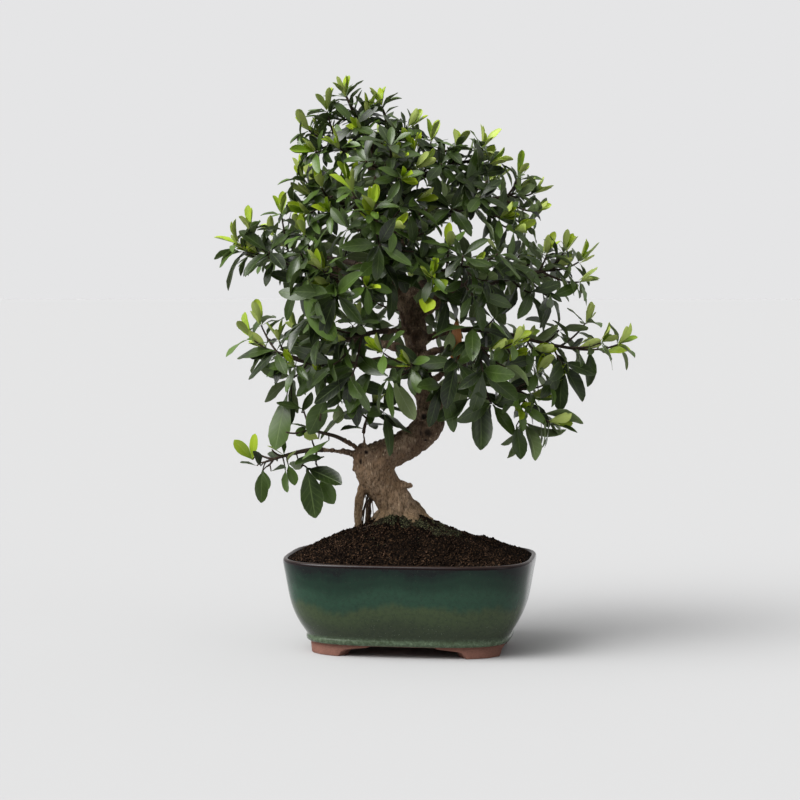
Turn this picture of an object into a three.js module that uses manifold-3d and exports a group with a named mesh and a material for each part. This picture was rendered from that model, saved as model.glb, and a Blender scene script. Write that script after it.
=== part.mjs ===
// Firethorn bonsai in a glazed stoneware pot. Millimetres, +Z up, the long side of the pot along X.
// The plant is a group of its own, turned a little in the pot. Its points are
// [right, back, up] from the middle of the pot's footprint, seen from the plant's front.
import * as THREE from 'three';
import { mergeVertices } from 'three/addons/utils/BufferGeometryUtils.js';
import Module from 'manifold-3d';

const wasm = await Module();
wasm.setup();

// Pot
const POT_LENGTH = 250;
const POT_DEPTH = 184;
const POT_HEIGHT = 94.5;
const PLAN_POWER = 3.5;
const WALL = 6.5;
const FOOT_HEIGHT = 11;
const FLOOR_THICKNESS = 8;
const FLOOR_TOP = FOOT_HEIGHT + FLOOR_THICKNESS;
const DRAIN_RADIUS = 8;
const DRAIN_SPACING = 92;
const DRAIN_DEPTH = 40;
const DRAIN_SIDES = 14;
const PLAN_SIDES = 28;

// Soil and drain screens
const GAP = 0.35;
const SOIL_EDGE = 93;
const SOIL_TOP = 136;
const MOUND_CENTRE = -12;
const MOUND_POWER = 1.1;
const MOUND_FLAT = 0.1;
const MOUND_RINGS = [0.92, 0.72, 0.44, 0.16];
const MOUND_LUMPS = [[1.6, 3, 7], [1.1, 7, -11]];
const SCREEN_SIZE = 34;
const SCREEN_THICKNESS = 1;
const SCREEN_CELLS = 3;
const SCREEN_BAR = 3;

// Plant
const PLANT_TURN = THREE.MathUtils.degToRad(8.2);
const TRUNK_SIDES = 10;
const TRUNK_STEPS = 24;
const TRUNK_FLUTES = [[0.05, 3, 14], [0.035, 5, -31]];
const ROOT_SIDES = 5;
const ROOT_STEPS = 3;
const LIMB_SIDES = 4;
const LIMB_END_RADIUS = 1.1;
const TWIG_SIDES = 3;
const TWIG_STEPS = 2;
const TWIG_RADIUS = 1.3;
const TWIG_TIP_RADIUS = 1;
const BLADE_THICKNESS = 0.7;
const MIDRIB = 0.6;
const WHORL = 4;
const WHORL_RADIUS = 2.2;
const WHORL_HEIGHT = 2.2;
const YOUNG_PLACE = 1;
const SHOOTS_KEPT = 2;
const SHOOT_BACK = 0.5;
const SHOOT_BEND = 0.6;
const SHOOT_SAG = 0.16;
const SHOOT_SAMPLES = 24;
const FIRST_SAMPLE = 0.6;
const STEPS_PER_POINT = 1.3;
const ROOM = 0.3;
const ROOM_FROM = 0.06;
const TRIES = 7;
const TRY_ANGLE = THREE.MathUtils.degToRad(11);
const UP = new THREE.Vector3(0, 0, 1);

// Leaves: lengths, angles and shares between which each leaf's own is drawn.
const SHADED_LENGTH = [31, 46];
const TIP_LENGTH = [23, 34];
const YOUNG_LENGTH = [15, 24];
const WIDTH_SHARE = [0.34, 0.42];
const SPREAD = [0.9, 1.3];
const YOUNG_SPREAD = [0.35, 0.6];
const DROOP = [-0.15, 0.3];
const YOUNG_DROOP = [-0.3, -0.3];
const BEND = [0.04, 0.22];
const YOUNG_BEND = [-0.05, -0.05];
const FACE_UPWARD = 0.5;
const LEAF_SEED_STEP = 0.37;

// Low in the crown the leaves are larger and hang down more than near the top.
const CROWN_LOW = 200;
const CROWN_TOP = 500;
const LOW_GROWTH = 1.08;
const TOP_GROWTH = 0.74;
const LOW_DROOP = 0.55;

const COLOURS = {
  pot: { color: 0x1f4d45, roughness: 0.12, metalness: 0 },
  screen: { color: 0x23262a, roughness: 0.6, metalness: 0 },
  soil: { color: 0x2a1d17, roughness: 0.95, metalness: 0 },
  bark: { color: 0x6e5f52, roughness: 0.85, metalness: 0 },
  foliage: { color: 0x35512c, roughness: 0.45, metalness: 0 },
};

// Trunk from the root base to the top: [right, back, up, radius].
const TRUNK = [
  [3, 9, 96, 22],
  [-4, 9, 118, 21],
  [-11, 8, 137, 19],
  [-22.7, 6, 155.5, 18],
  [-30.8, 3, 168, 18.6],
  [-35.5, -1, 179, 19.3],
  [-34.5, -4, 188.5, 18.4],
  [-25.5, -6, 195, 16.6],
  [-12, -7, 201.8, 15.5],
  [4.1, -6, 211.4, 15.3],
  [17, -2, 223.5, 15.2],
  [20, 2, 239, 14.4],
  [17.5, 3, 254, 13.5],
  [10.5, 4, 267.5, 12.6],
  [5, 6, 284, 10.6],
  [4.7, 8, 304, 11.7],
  [2.4, 8, 328, 12.8],
  [-5, 7, 348, 10],
  [-13, 5, 366, 8],
  [-19, 2, 386, 7.2],
  [-24, -1, 410, 6.4],
  [-28, -3, 438, 5.4],
  [-31, -2, 464, 4.6],
  [-35, 0, 490, 3.8],
  [-40, 2, 508, 3.2],
];

// Surface roots: [right, back, up, radius] from inside the root base outwards.
const ROOTS = [
  [[-14, 2, 140, 10], [-29, -7, 128, 7], [-42, -14, 116, 3.5]],
  [[-3, 2, 132, 13], [3, -14, 122, 9], [7, -30, 112, 4]],
  [[0, 6, 134, 12], [18, 0, 124, 8], [34, -6, 114, 3.5]],
  [[0, 18, 140, 10], [10, 34, 128, 7.5], [16, 48, 116, 4]],
  [[-14, 16, 142, 9], [-32, 28, 128, 7], [-44, 38, 116, 3.5]],
  [[-43, 4, 170, 5.5], [-49, 1, 158, 4.4], [-52.5, -2, 142, 4.2], [-52.5, -4, 122, 5]],
  [[-38, 9, 162, 3.2], [-41, 11, 146, 2.6], [-44, 13, 122, 3]],
];

// Swellings of the trunk: [right, back, up, radius, height over width].
const BURLS = [
  [-48, -5, 194, 10, 1.3],
  [19, -12, 221, 12, 1],
  [7, -4, 313, 9.5, 1.2],
];

// Short dead stub on the lower trunk.
const STUB = [[-18, -2, 163, 4], [-10, -4, 165, 3.2], [-3, -5, 164.5, 2.8]];

// Limbs: the wood up to control point `bare` belongs to the trunk, the rest carries the leaves.
// Shoots are tips [right, back, up, young], young being 1 where the tip has fresh pale leaves.
// The first two of a list, or as many as `kept` says, are the outermost and carry the leaves.
const LIMBS = [
  {
    name: 'low_left', radius: 4.2, bare: 2.6,
    points: [
      [-40, -2, 192], [-58, -6, 197], [-76, -10, 200], [-100, -14, 201], [-124, -18, 196],
      [-144, -22, 190],
    ],
    shoots: [
      [-154, -24, 200, 1], [-108, -30, 186, 0], [-137, -36, 203, 0], [-144, -8, 184, 0],
      [-98, -34, 214, 1], [-94, -28, 188, 0],
    ],
  },
  {
    name: 'low_left_front', radius: 2.8, bare: 1.6, kept: 1,
    points: [
      [-44, -6, 197], [-60, -14, 207], [-74, -22, 215], [-92, -34, 221], [-108, -44, 228],
    ],
    shoots: [
      [-106, -34, 243, 0], [-88, -52, 240, 0], [-122, -56, 222, 0],
    ],
  },
  {
    name: 'inner_left', radius: 2.4, bare: 1.2, kept: 1,
    points: [
      [-44, -6, 198], [-47, -14, 216], [-44, -18, 231], [-38, -22, 244],
    ],
    shoots: [
      [-27, -28, 240, 0], [-54, -26, 246, 0],
    ],
  },
  {
    name: 'left_mid', radius: 6, bare: 2,
    points: [
      [-2, 5, 284], [-30, -6, 288], [-62, -14, 286], [-96, -18, 288], [-126, -18, 296],
      [-144, -14, 302],
    ],
    shoots: [
      [-158, -16, 313, 1], [-130, -26, 310, 0], [-149, -6, 325, 1], [-133, -32, 300, 0],
      [-119, -8, 272, 0], [-114, -38, 286, 0], [-85, -36, 276, 1], [-84, -40, 296, 0],
      [-60, -34, 268, 0],
    ],
  },
  {
    name: 'left_long', radius: 6.5, bare: 2,
    points: [
      [-13, 5, 366], [-40, 2, 375], [-78, -4, 380], [-118, -8, 386], [-152, -8, 396],
    ],
    shoots: [
      [-171, -8, 405, 1], [-158, -14, 418, 1], [-128, -16, 435, 1], [-140, -24, 398, 0],
      [-108, -22, 368, 0], [-86, -32, 378, 1], [-104, -26, 414, 0], [-108, -36, 396, 0],
      [-168, 8, 398, 0],
    ],
  },
  {
    name: 'left_upper', radius: 4.6, bare: 1.4,
    points: [
      [-26, -2, 425], [-50, -4, 440], [-74, -8, 448], [-96, -10, 452],
    ],
    shoots: [
      [-106, -10, 470, 1], [-88, -28, 461, 1], [-116, -6, 446, 0], [-100, -24, 436, 1],
      [-79, -34, 436, 1], [-60, -34, 463, 1],
    ],
  },
  {
    name: 'crown_left', radius: 3.8, bare: 1.2,
    points: [
      [-32, -2, 476], [-52, -4, 493], [-70, -6, 505], [-86, -6, 511],
    ],
    shoots: [
      [-101, -8, 518, 1], [-83, -6, 537, 1], [-103, -12, 498, 0], [-70, -32, 500, 1],
      [-94, -26, 496, 0],
    ],
  },
  {
    name: 'apex', radius: 3.2, bare: 0.9,
    points: [
      [-39, 2, 504], [-47, 0, 520], [-57, -3, 537], [-64, -4, 552],
    ],
    shoots: [
      [-43, -8, 534, 1], [-80, 2, 532, 0], [-54, -24, 522, 0],
    ],
  },
  {
    name: 'crown_right', radius: 3.2, bare: 1, kept: 1,
    points: [
      [-35, 0, 492], [-27, -2, 510], [-24, -6, 526], [-29, -8, 542],
    ],
    shoots: [
      [-3, -12, 521, 1], [-46, -22, 514, 1], [-12, -26, 508, 0], [2, 4, 510, 0],
    ],
  },
  {
    name: 'right_top', radius: 4.8, bare: 1.6,
    points: [
      [-28, -3, 440], [-8, -6, 462], [19, -8, 476], [45, -8, 485], [64, -6, 489],
    ],
    shoots: [
      [70, -8, 501, 1], [77, -14, 484, 1], [46, -10, 499, 1], [66, -24, 474, 0], [20, -12, 507, 1],
      [34, -22, 498, 0], [4, -24, 496, 1], [30, -36, 484, 0], [-17, -28, 484, 1], [54, -36, 466, 0],
    ],
  },
  {
    name: 'right_high', radius: 5.2, bare: 1.6,
    points: [
      [-20, -1, 396], [12, -6, 422], [48, -10, 440], [82, -12, 450], [104, -12, 456],
    ],
    shoots: [
      [121, -10, 456, 1], [106, -16, 471, 1], [120, -20, 438, 1], [87, -36, 432, 1], [68, -38, 452, 0],
      [101, -40, 419, 1], [40, -38, 440, 0], [114, -2, 424, 0],
    ],
  },
  {
    name: 'right_long', radius: 6.6, bare: 2.2,
    points: [
      [4, 7, 334], [24, 0, 345], [52, -4, 360], [88, -8, 370], [122, -8, 377], [144, -6, 382],
    ],
    shoots: [
      [167, -8, 388, 1], [152, -4, 397, 1], [167, -10, 368, 1], [135, -14, 396, 1], [138, -22, 353, 0],
      [118, -28, 358, 0], [95, -32, 386, 0], [72, -36, 370, 0],
    ],
  },
  {
    name: 'right_far', radius: 4, bare: 1.8,
    points: [
      [5, 6, 304], [30, -4, 317], [62, -8, 321], [98, -10, 316], [134, -10, 307], [164, -10, 302],
    ],
    shoots: [
      [206, -12, 306, 1], [189, -14, 308, 1], [174, -6, 327, 1], [122, -18, 302, 1], [150, -22, 288, 0],
      [99, -26, 297, 1], [148, 0, 320, 0], [82, -24, 332, 0],
    ],
  },
  {
    name: 'low_right', radius: 5, bare: 1.8,
    points: [
      [17, 0, 254], [38, -5, 262], [64, -10, 268], [92, -14, 266], [116, -16, 256],
    ],
    shoots: [
      [136, -18, 268, 1], [137, -24, 230, 1], [130, -18, 236, 0], [108, -30, 246, 1], [112, -8, 228, 0],
      [124, -22, 278, 1], [80, -28, 248, 0], [60, -26, 284, 0],
    ],
  },
  {
    name: 'front_low', radius: 3.4, bare: 1, kept: 1,
    points: [
      [12, -2, 264], [18, -24, 278], [10, -44, 286], [0, -60, 288],
    ],
    shoots: [
      [-27, -66, 300, 1], [30, -50, 266, 0], [-22, -64, 276, 0],
    ],
  },
  {
    name: 'front_left', radius: 4.2, bare: 1.2, kept: 1,
    points: [
      [1, 4, 318], [-20, -22, 320], [-42, -40, 318], [-64, -54, 312],
    ],
    shoots: [
      [-50, -52, 330, 1], [-88, -60, 316, 0], [-76, -62, 288, 0], [-58, -66, 276, 0],
      [-98, -50, 334, 0],
    ],
  },
  {
    name: 'front_left_high', radius: 4.2, bare: 1.2,
    points: [
      [-14, 2, 368], [-34, -24, 376], [-56, -44, 376], [-78, -58, 368],
    ],
    shoots: [
      [-92, -68, 354, 0], [-86, -66, 380, 1], [-43, -70, 364, 0], [-72, -74, 356, 0],
      [-100, -54, 388, 0],
    ],
  },
  {
    name: 'front_upper', radius: 4.2, bare: 1,
    points: [
      [-22, -2, 398], [-28, -28, 412], [-34, -52, 423], [-38, -70, 430],
    ],
    shoots: [
      [-37, -76, 438, 1], [-62, -64, 420, 0], [-57, -70, 456, 1], [-18, -78, 420, 0], [-8, -60, 442, 0],
      [-30, -86, 404, 0],
    ],
  },
  {
    name: 'front_right_high', radius: 4.2, bare: 1,
    points: [
      [-7, 4, 352], [14, -26, 368], [34, -50, 380], [58, -66, 384],
    ],
    shoots: [
      [20, -72, 374, 1], [84, -72, 396, 0], [50, -82, 394, 0], [74, -74, 370, 0], [36, -72, 402, 0],
      [60, -80, 356, 0],
    ],
  },
  {
    name: 'front_top', radius: 3.4, bare: 0.8, kept: 1,
    points: [
      [-30, -2, 460], [-28, -24, 473], [-22, -46, 483], [-16, -60, 488],
    ],
    shoots: [
      [-44, -56, 486, 0], [4, -58, 478, 0], [-20, -68, 500, 0], [-10, -74, 468, 0],
    ],
  },
  {
    name: 'front_right_low', radius: 4, bare: 1,
    points: [
      [5, 5, 292], [32, -22, 302], [54, -42, 306], [78, -58, 303],
    ],
    shoots: [
      [98, -66, 309, 1], [70, -66, 282, 0], [60, -60, 324, 0], [44, -60, 290, 0], [92, -52, 286, 0],
    ],
  },
  {
    name: 'back_left_low', radius: 5, bare: 1.8,
    points: [
      [3, 8, 298], [-24, 34, 304], [-54, 58, 308], [-82, 80, 308], [-100, 90, 310],
    ],
    shoots: [
      [-116, 96, 316, 1], [-100, 106, 292, 0], [-82, 104, 324, 1], [-70, 88, 290, 0],
      [-88, 70, 332, 0], [-60, 92, 322, 0], [-120, 78, 298, 0],
    ],
  },
  {
    name: 'back_right_low', radius: 5, bare: 1.6,
    points: [
      [15, 2, 256], [26, 30, 270], [46, 56, 280], [74, 80, 288], [98, 92, 294],
    ],
    shoots: [
      [120, 100, 304, 1], [104, 112, 286, 0], [80, 108, 302, 1], [60, 92, 270, 0], [96, 72, 310, 0],
      [126, 82, 286, 0], [48, 90, 300, 0],
    ],
  },
  {
    name: 'back_left', radius: 5, bare: 1.8,
    points: [
      [-13, 5, 366], [-34, 34, 378], [-64, 56, 388], [-96, 74, 394], [-118, 82, 402],
    ],
    shoots: [
      [-140, 86, 414, 1], [-122, 98, 394, 0], [-96, 98, 410, 1], [-80, 86, 374, 0], [-112, 60, 416, 0],
      [-66, 84, 402, 0], [-146, 64, 396, 0],
    ],
  },
  {
    name: 'back_right', radius: 5, bare: 1.8,
    points: [
      [0, 8, 338], [26, 38, 354], [56, 62, 366], [90, 80, 374], [114, 88, 384],
    ],
    shoots: [
      [138, 90, 396, 1], [118, 104, 376, 0], [92, 104, 392, 1], [74, 90, 358, 0], [112, 64, 396, 0],
      [60, 92, 388, 0], [142, 72, 374, 0],
    ],
  },
  {
    name: 'back_middle', radius: 4.4, bare: 1.2, kept: 1,
    points: [
      [3, 8, 318], [2, 44, 332], [4, 76, 342], [6, 102, 348],
    ],
    shoots: [
      [6, 124, 358, 1], [-22, 112, 346, 0], [30, 112, 344, 0], [4, 100, 372, 0], [-16, 92, 320, 0],
      [24, 86, 324, 0], [-42, 88, 350, 0],
    ],
  },
  {
    name: 'back_upper_left', radius: 4, bare: 1.2,
    points: [
      [-26, -2, 428], [-44, 28, 444], [-66, 50, 456], [-86, 64, 464],
    ],
    shoots: [
      [-97, 70, 471, 1], [-84, 84, 462, 0], [-70, 76, 484, 1], [-54, 72, 446, 0], [-100, 50, 448, 0],
    ],
  },
  {
    name: 'back_upper_right', radius: 4, bare: 1.2,
    points: [
      [-24, -1, 412], [0, 32, 432], [30, 56, 445], [60, 72, 454],
    ],
    shoots: [
      [82, 78, 468, 1], [58, 92, 450, 0], [36, 84, 470, 1], [20, 82, 440, 0], [94, 64, 446, 0],
      [80, 54, 472, 0],
    ],
  },
  {
    name: 'back_top', radius: 3.4, bare: 0.9,
    points: [
      [-30, -2, 456], [-31, 28, 474], [-28, 52, 486], [-26, 70, 494],
    ],
    shoots: [
      [-28, 82, 508, 1], [-50, 64, 496, 0], [-6, 66, 496, 0], [-28, 74, 470, 0], [-48, 46, 514, 1],
      [-8, 42, 518, 0],
    ],
  },
  {
    name: 'back_upper', radius: 4, bare: 1.2, kept: 1,
    points: [
      [-20, 1, 390], [-19, 36, 403], [-14, 68, 412], [-12, 92, 416],
    ],
    shoots: [
      [-12, 112, 428, 1], [-36, 102, 412, 0], [14, 102, 412, 0], [-12, 90, 440, 0], [-32, 84, 392, 0],
      [10, 80, 390, 0],
    ],
  },
];

// Seeded draw between 0 and 1, the same for the same seed on every run.
function draw(seed) {
  const value = Math.sin(seed * 127.1 + 11.7) * 43758.5453;
  return value - Math.floor(value);
}

function between(low, high, seed) {
  return low + (high - low) * draw(seed);
}

function material(name) {
  return new THREE.MeshStandardMaterial(COLOURS[name]);
}

// Closed three.js geometry to solid and back
function solidOf(geometry) {
  const bare = geometry.clone();
  bare.deleteAttribute('normal');
  bare.deleteAttribute('uv');
  const merged = mergeVertices(bare, 1e-4);
  const vertProperties = new Float32Array(merged.attributes.position.array);
  const triVerts = new Uint32Array(merged.index.array);
  return new wasm.Manifold(new wasm.Mesh({ numProp: 3, vertProperties, triVerts }));
}

function geometryOf(solid) {
  const mesh = solid.getMesh();
  const geometry = new THREE.BufferGeometry();
  geometry.setAttribute('position', new THREE.BufferAttribute(mesh.vertProperties, 3));
  geometry.setIndex(new THREE.BufferAttribute(mesh.triVerts, 1));
  geometry.computeVertexNormals();
  return geometry;
}

function joined(solids) {
  return solids.reduce((whole, next) => whole.add(next));
}

function namedMesh(name, geometry, finish) {
  const mesh = new THREE.Mesh(geometry, material(finish));
  mesh.name = name;
  return mesh;
}

// Geometry from rings of points that all hold the same count, closed by a fan at each end.
function ringGeometry(rings) {
  const count = rings[0].length;
  const positions = rings.flat().flatMap((point) => [point.x, point.y, point.z]);
  const faces = [];
  for (let level = 0; level + 1 < rings.length; level += 1) {
    for (let side = 0; side < count; side += 1) {
      const next = (side + 1) % count;
      const low = level * count;
      const high = low + count;
      faces.push(low + side, low + next, high + next);
      faces.push(low + side, high + next, high + side);
    }
  }
  const last = (rings.length - 1) * count;
  for (let side = 1; side + 1 < count; side += 1) {
    faces.push(0, side + 1, side);
    faces.push(last, last + side, last + side + 1);
  }
  const geometry = new THREE.BufferGeometry();
  geometry.setAttribute('position', new THREE.Float32BufferAttribute(positions, 3));
  geometry.setIndex(faces);
  return geometry;
}

// Point of the pot's rounded rectangular plan, drawn in from the rim by `inset`.
function planPoint(angle, inset, height) {
  const power = 2 / PLAN_POWER;
  const cosine = Math.cos(angle);
  const sine = Math.sin(angle);
  const x = (POT_LENGTH / 2 - inset) * Math.sign(cosine) * Math.abs(cosine) ** power;
  const y = (POT_DEPTH / 2 - inset) * Math.sign(sine) * Math.abs(sine) ** power;
  return new THREE.Vector3(x, y, height);
}

function planRing(inset, height) {
  const ring = [];
  for (let side = 0; side < PLAN_SIDES; side += 1) {
    ring.push(planPoint((2 * Math.PI * (side + 0.5)) / PLAN_SIDES, inset, height));
  }
  return ring;
}

// Outer wall of the pot: [inset from the rim, height]. The base band stands under a small notch.
const OUTER_PROFILE = [
  [27, FOOT_HEIGHT],
  [22.6, 13],
  [22.2, 16.5],
  [23.2, 18],
  [13, 34.5],
  [7.4, 49],
  [2.8, 75],
  [0, POT_HEIGHT - 2.2],
  [1.6, POT_HEIGHT],
];

// Inner wall, from the rim down to the floor.
const INNER_PROFILE = [
  [WALL - 1, POT_HEIGHT],
  [WALL, POT_HEIGHT - 1.6],
  [WALL + 9, 46],
  [WALL + 22, FLOOR_TOP + 5],
  [WALL + 28, FLOOR_TOP],
];

// Bracket foot round one corner: [plan angle in degrees, height of its underside].
const FOOT_PROFILE = [
  [5, 9.5],
  [17, 6.5],
  [19, 0],
  [34, 0],
  [50, 0],
  [64, 0],
  [66, 6.5],
  [81, 9.5],
];
const FOOT_INSET = 27;
const FOOT_WIDTH = 13;
const FOOT_SINK = 2;

function footSolid(flipX, flipY) {
  const rings = FOOT_PROFILE.map(([degrees, underside]) => {
    const angle = THREE.MathUtils.degToRad(degrees);
    const top = FOOT_HEIGHT + FOOT_SINK;
    return [
      planPoint(angle, FOOT_INSET, underside),
      planPoint(angle, FOOT_INSET + FOOT_WIDTH, underside),
      planPoint(angle, FOOT_INSET + FOOT_WIDTH, top),
      planPoint(angle, FOOT_INSET, top),
    ];
  });
  const flip = new THREE.Vector3(flipX, flipY, 1);
  const turned = rings.map((ring) => ring.map((point) => point.clone().multiply(flip)));
  const mirrored = flipX * flipY < 0;
  return solidOf(ringGeometry(mirrored ? turned.reverse() : turned));
}

function drainSolid(side) {
  const drill = new THREE.CylinderGeometry(DRAIN_RADIUS, DRAIN_RADIUS, DRAIN_DEPTH, DRAIN_SIDES);
  drill.rotateX(Math.PI / 2);
  drill.translate((side * DRAIN_SPACING) / 2, 0, FLOOR_TOP);
  return solidOf(drill);
}

function potMesh() {
  const profile = [...OUTER_PROFILE, ...INNER_PROFILE];
  const body = solidOf(ringGeometry(profile.map(([inset, height]) => planRing(inset, height))));
  const corners = [[1, 1], [1, -1], [-1, 1], [-1, -1]];
  const withFeet = joined([body, ...corners.map(([flipX, flipY]) => footSolid(flipX, flipY))]);
  const drained = withFeet.subtract(drainSolid(-1)).subtract(drainSolid(1));
  return namedMesh('pot', geometryOf(drained), 'pot');
}

// Plastic screen over a drainage hole: a plate with a grid of square holes.
function screenMesh(name, side) {
  const cell = SCREEN_SIZE / SCREEN_CELLS;
  const middle = (SCREEN_CELLS - 1) / 2;
  let plate = solidOf(new THREE.BoxGeometry(SCREEN_SIZE, SCREEN_SIZE, SCREEN_THICKNESS));
  for (let column = 0; column < SCREEN_CELLS; column += 1) {
    for (let row = 0; row < SCREEN_CELLS; row += 1) {
      const hole = new THREE.BoxGeometry(cell - SCREEN_BAR, cell - SCREEN_BAR, 3 * SCREEN_THICKNESS);
      hole.translate((column - middle) * cell, (row - middle) * cell, 0);
      plate = plate.subtract(solidOf(hole));
    }
  }
  const mesh = namedMesh(name, geometryOf(plate), 'screen');
  mesh.position.set((side * DRAIN_SPACING) / 2, 0, FLOOR_TOP + GAP + SCREEN_THICKNESS / 2);
  return mesh;
}

// Height of the mounded soil, reach being 0 at the trunk and 1 at the pot's wall.
function moundHeight(reach, angle) {
  const fall = Math.min(1, (1 - reach) / (1 - MOUND_FLAT)) ** MOUND_POWER;
  const lump = ([height, waves, drift]) => height * Math.sin(waves * angle + drift * reach);
  const lumps = MOUND_LUMPS.reduce((sum, row) => sum + lump(row), 0);
  return SOIL_EDGE + (SOIL_TOP - SOIL_EDGE) * fall + lumps * Math.sin(Math.PI * reach);
}

// How far the inner wall stands in from the rim at the soil's edge.
function soilEdgeInset() {
  const [, [topInset, top], [lowInset, low]] = INNER_PROFILE;
  return THREE.MathUtils.mapLinear(SOIL_EDGE, low, top, lowInset, topInset) + GAP;
}

function soilSolid() {
  const [floor, ...wall] = INNER_PROFILE.slice(2).reverse();
  const rings = [planRing(floor[0] + GAP, floor[1] + GAP)];
  rings.push(...wall.map(([inset, height]) => planRing(inset + GAP, height)));
  const edge = planRing(soilEdgeInset(), SOIL_EDGE);
  rings.push(edge);
  for (const reach of MOUND_RINGS) {
    rings.push(edge.map((point) => {
      const angle = Math.atan2(point.y, point.x);
      const shift = MOUND_CENTRE * (1 - reach);
      return new THREE.Vector3(point.x * reach + shift, point.y * reach, moundHeight(reach, angle));
    }));
  }
  return solidOf(ringGeometry(rings));
}

function screenPocket(side) {
  const size = SCREEN_SIZE + 2 * GAP;
  const pocket = new THREE.BoxGeometry(size, size, 2 * (SCREEN_THICKNESS + 2 * GAP));
  pocket.translate((side * DRAIN_SPACING) / 2, 0, FLOOR_TOP);
  return solidOf(pocket);
}

// The root base, widened by the gap and turned as the plant is, leaves its hole in the soil.
function soilMesh() {
  const hole = joined(rootBaseSolids(GAP)).rotate([0, 0, THREE.MathUtils.radToDeg(PLANT_TURN)]);
  const soil = soilSolid().subtract(hole).subtract(screenPocket(-1)).subtract(screenPocket(1));
  return namedMesh('soil', geometryOf(soil), 'soil');
}

function curveOf(points) {
  const vectors = points.map(([right, back, up]) => new THREE.Vector3(right, back, up));
  return new THREE.CatmullRomCurve3(vectors, false, 'catmullrom', 0.5);
}

// Place, direction and two cross directions at even steps of a curve, without twist.
function stationsAlong(curve, from, to, steps) {
  const stations = [];
  let across = null;
  for (let step = 0; step <= steps; step += 1) {
    const t = from + ((to - from) * step) / steps;
    const along = curve.getTangent(t);
    across = across ?? (Math.abs(along.z) < 0.8 ? UP.clone() : new THREE.Vector3(1, 0, 0));
    across = across.clone().addScaledVector(along, -across.dot(along)).normalize();
    const other = new THREE.Vector3().crossVectors(across, along);
    stations.push({ t, place: curve.getPoint(t), along, across, other });
  }
  return stations;
}

// A cylinder bent along a curve, its radius given by place along the curve and angle round it.
function bentCylinder(curve, { from = 0, to = 1, sides, steps, radiusAt }) {
  const geometry = new THREE.CylinderGeometry(1, 1, 1, sides, steps);
  const stations = stationsAlong(curve, from, to, steps);
  const position = geometry.attributes.position;
  for (let index = 0; index < position.count; index += 1) {
    const station = stations[Math.round((position.getY(index) + 0.5) * steps)];
    const x = position.getX(index);
    const z = position.getZ(index);
    const radius = radiusAt(station.t, Math.atan2(z, x));
    const point = station.place.clone();
    point.addScaledVector(station.across, x * radius).addScaledVector(station.other, z * radius);
    position.setXYZ(index, point.x, point.y, point.z);
  }
  return geometry;
}

// Radius read from a list of [.., .., .., radius] points, even in the curve's parameter.
function radiusFrom(points) {
  return (t) => {
    const place = THREE.MathUtils.clamp(t, 0, 1) * (points.length - 1);
    const index = Math.min(Math.floor(place), points.length - 2);
    return THREE.MathUtils.lerp(points[index][3], points[index + 1][3], place - index);
  };
}

function trunkSolid(extra) {
  const radius = radiusFrom(TRUNK);
  const radiusAt = (t, angle) => {
    const flute = ([depth, waves, drift]) => depth * Math.sin(waves * angle + drift * t);
    return radius(t) * TRUNK_FLUTES.reduce((sum, row) => sum + flute(row), 1) + extra;
  };
  const options = { sides: TRUNK_SIDES, steps: TRUNK_STEPS, radiusAt };
  return solidOf(bentCylinder(curveOf(TRUNK), options));
}

function rootSolid(points, extra) {
  const radius = radiusFrom(points);
  const options = { sides: ROOT_SIDES, steps: ROOT_STEPS, radiusAt: (t) => radius(t) + extra };
  return solidOf(bentCylinder(curveOf(points), options));
}

function rootBaseSolids(extra) {
  return [trunkSolid(extra), ...ROOTS.map((points) => rootSolid(points, extra))];
}

function burlSolid([right, back, up, radius, stretch]) {
  const lump = new THREE.IcosahedronGeometry(radius, 1);
  lump.scale(1, 1, stretch);
  lump.translate(right, back, up);
  return solidOf(lump);
}

// Radius of a limb, thinning evenly from the trunk to its tip.
function limbRadius(limb) {
  return (t) => THREE.MathUtils.lerp(limb.radius, LIMB_END_RADIUS, t);
}

function bareEnd(limb) {
  return limb.bare / (limb.points.length - 1);
}

function bareLimbSolid(limb) {
  const steps = Math.ceil(limb.bare);
  const options = { to: bareEnd(limb), sides: LIMB_SIDES, steps, radiusAt: limbRadius(limb) };
  return solidOf(bentCylinder(curveOf(limb.points), options));
}

function trunkMesh() {
  const parts = [
    ...rootBaseSolids(0),
    ...BURLS.map(burlSolid),
    rootSolid(STUB, 0),
    ...LIMBS.map(bareLimbSolid),
  ];
  return namedMesh('trunk', geometryOf(joined(parts)), 'bark');
}

// The leafy part of a limb starts face to face with its bare wood, a hair away.
function leafyStart(limb, curve) {
  const t = bareEnd(limb);
  const step = 0.001;
  const speed = curve.getPoint(t).distanceTo(curve.getPoint(t + step)) / step;
  return t + ROOM / speed;
}

function leafyLimbSolid(limb, curve) {
  const from = leafyStart(limb, curve);
  const steps = Math.max(2, Math.round((limb.points.length - 1) * (1 - from) * STEPS_PER_POINT));
  const options = { from, sides: LIMB_SIDES, steps, radiusAt: limbRadius(limb) };
  return solidOf(bentCylinder(curve, options));
}

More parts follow.
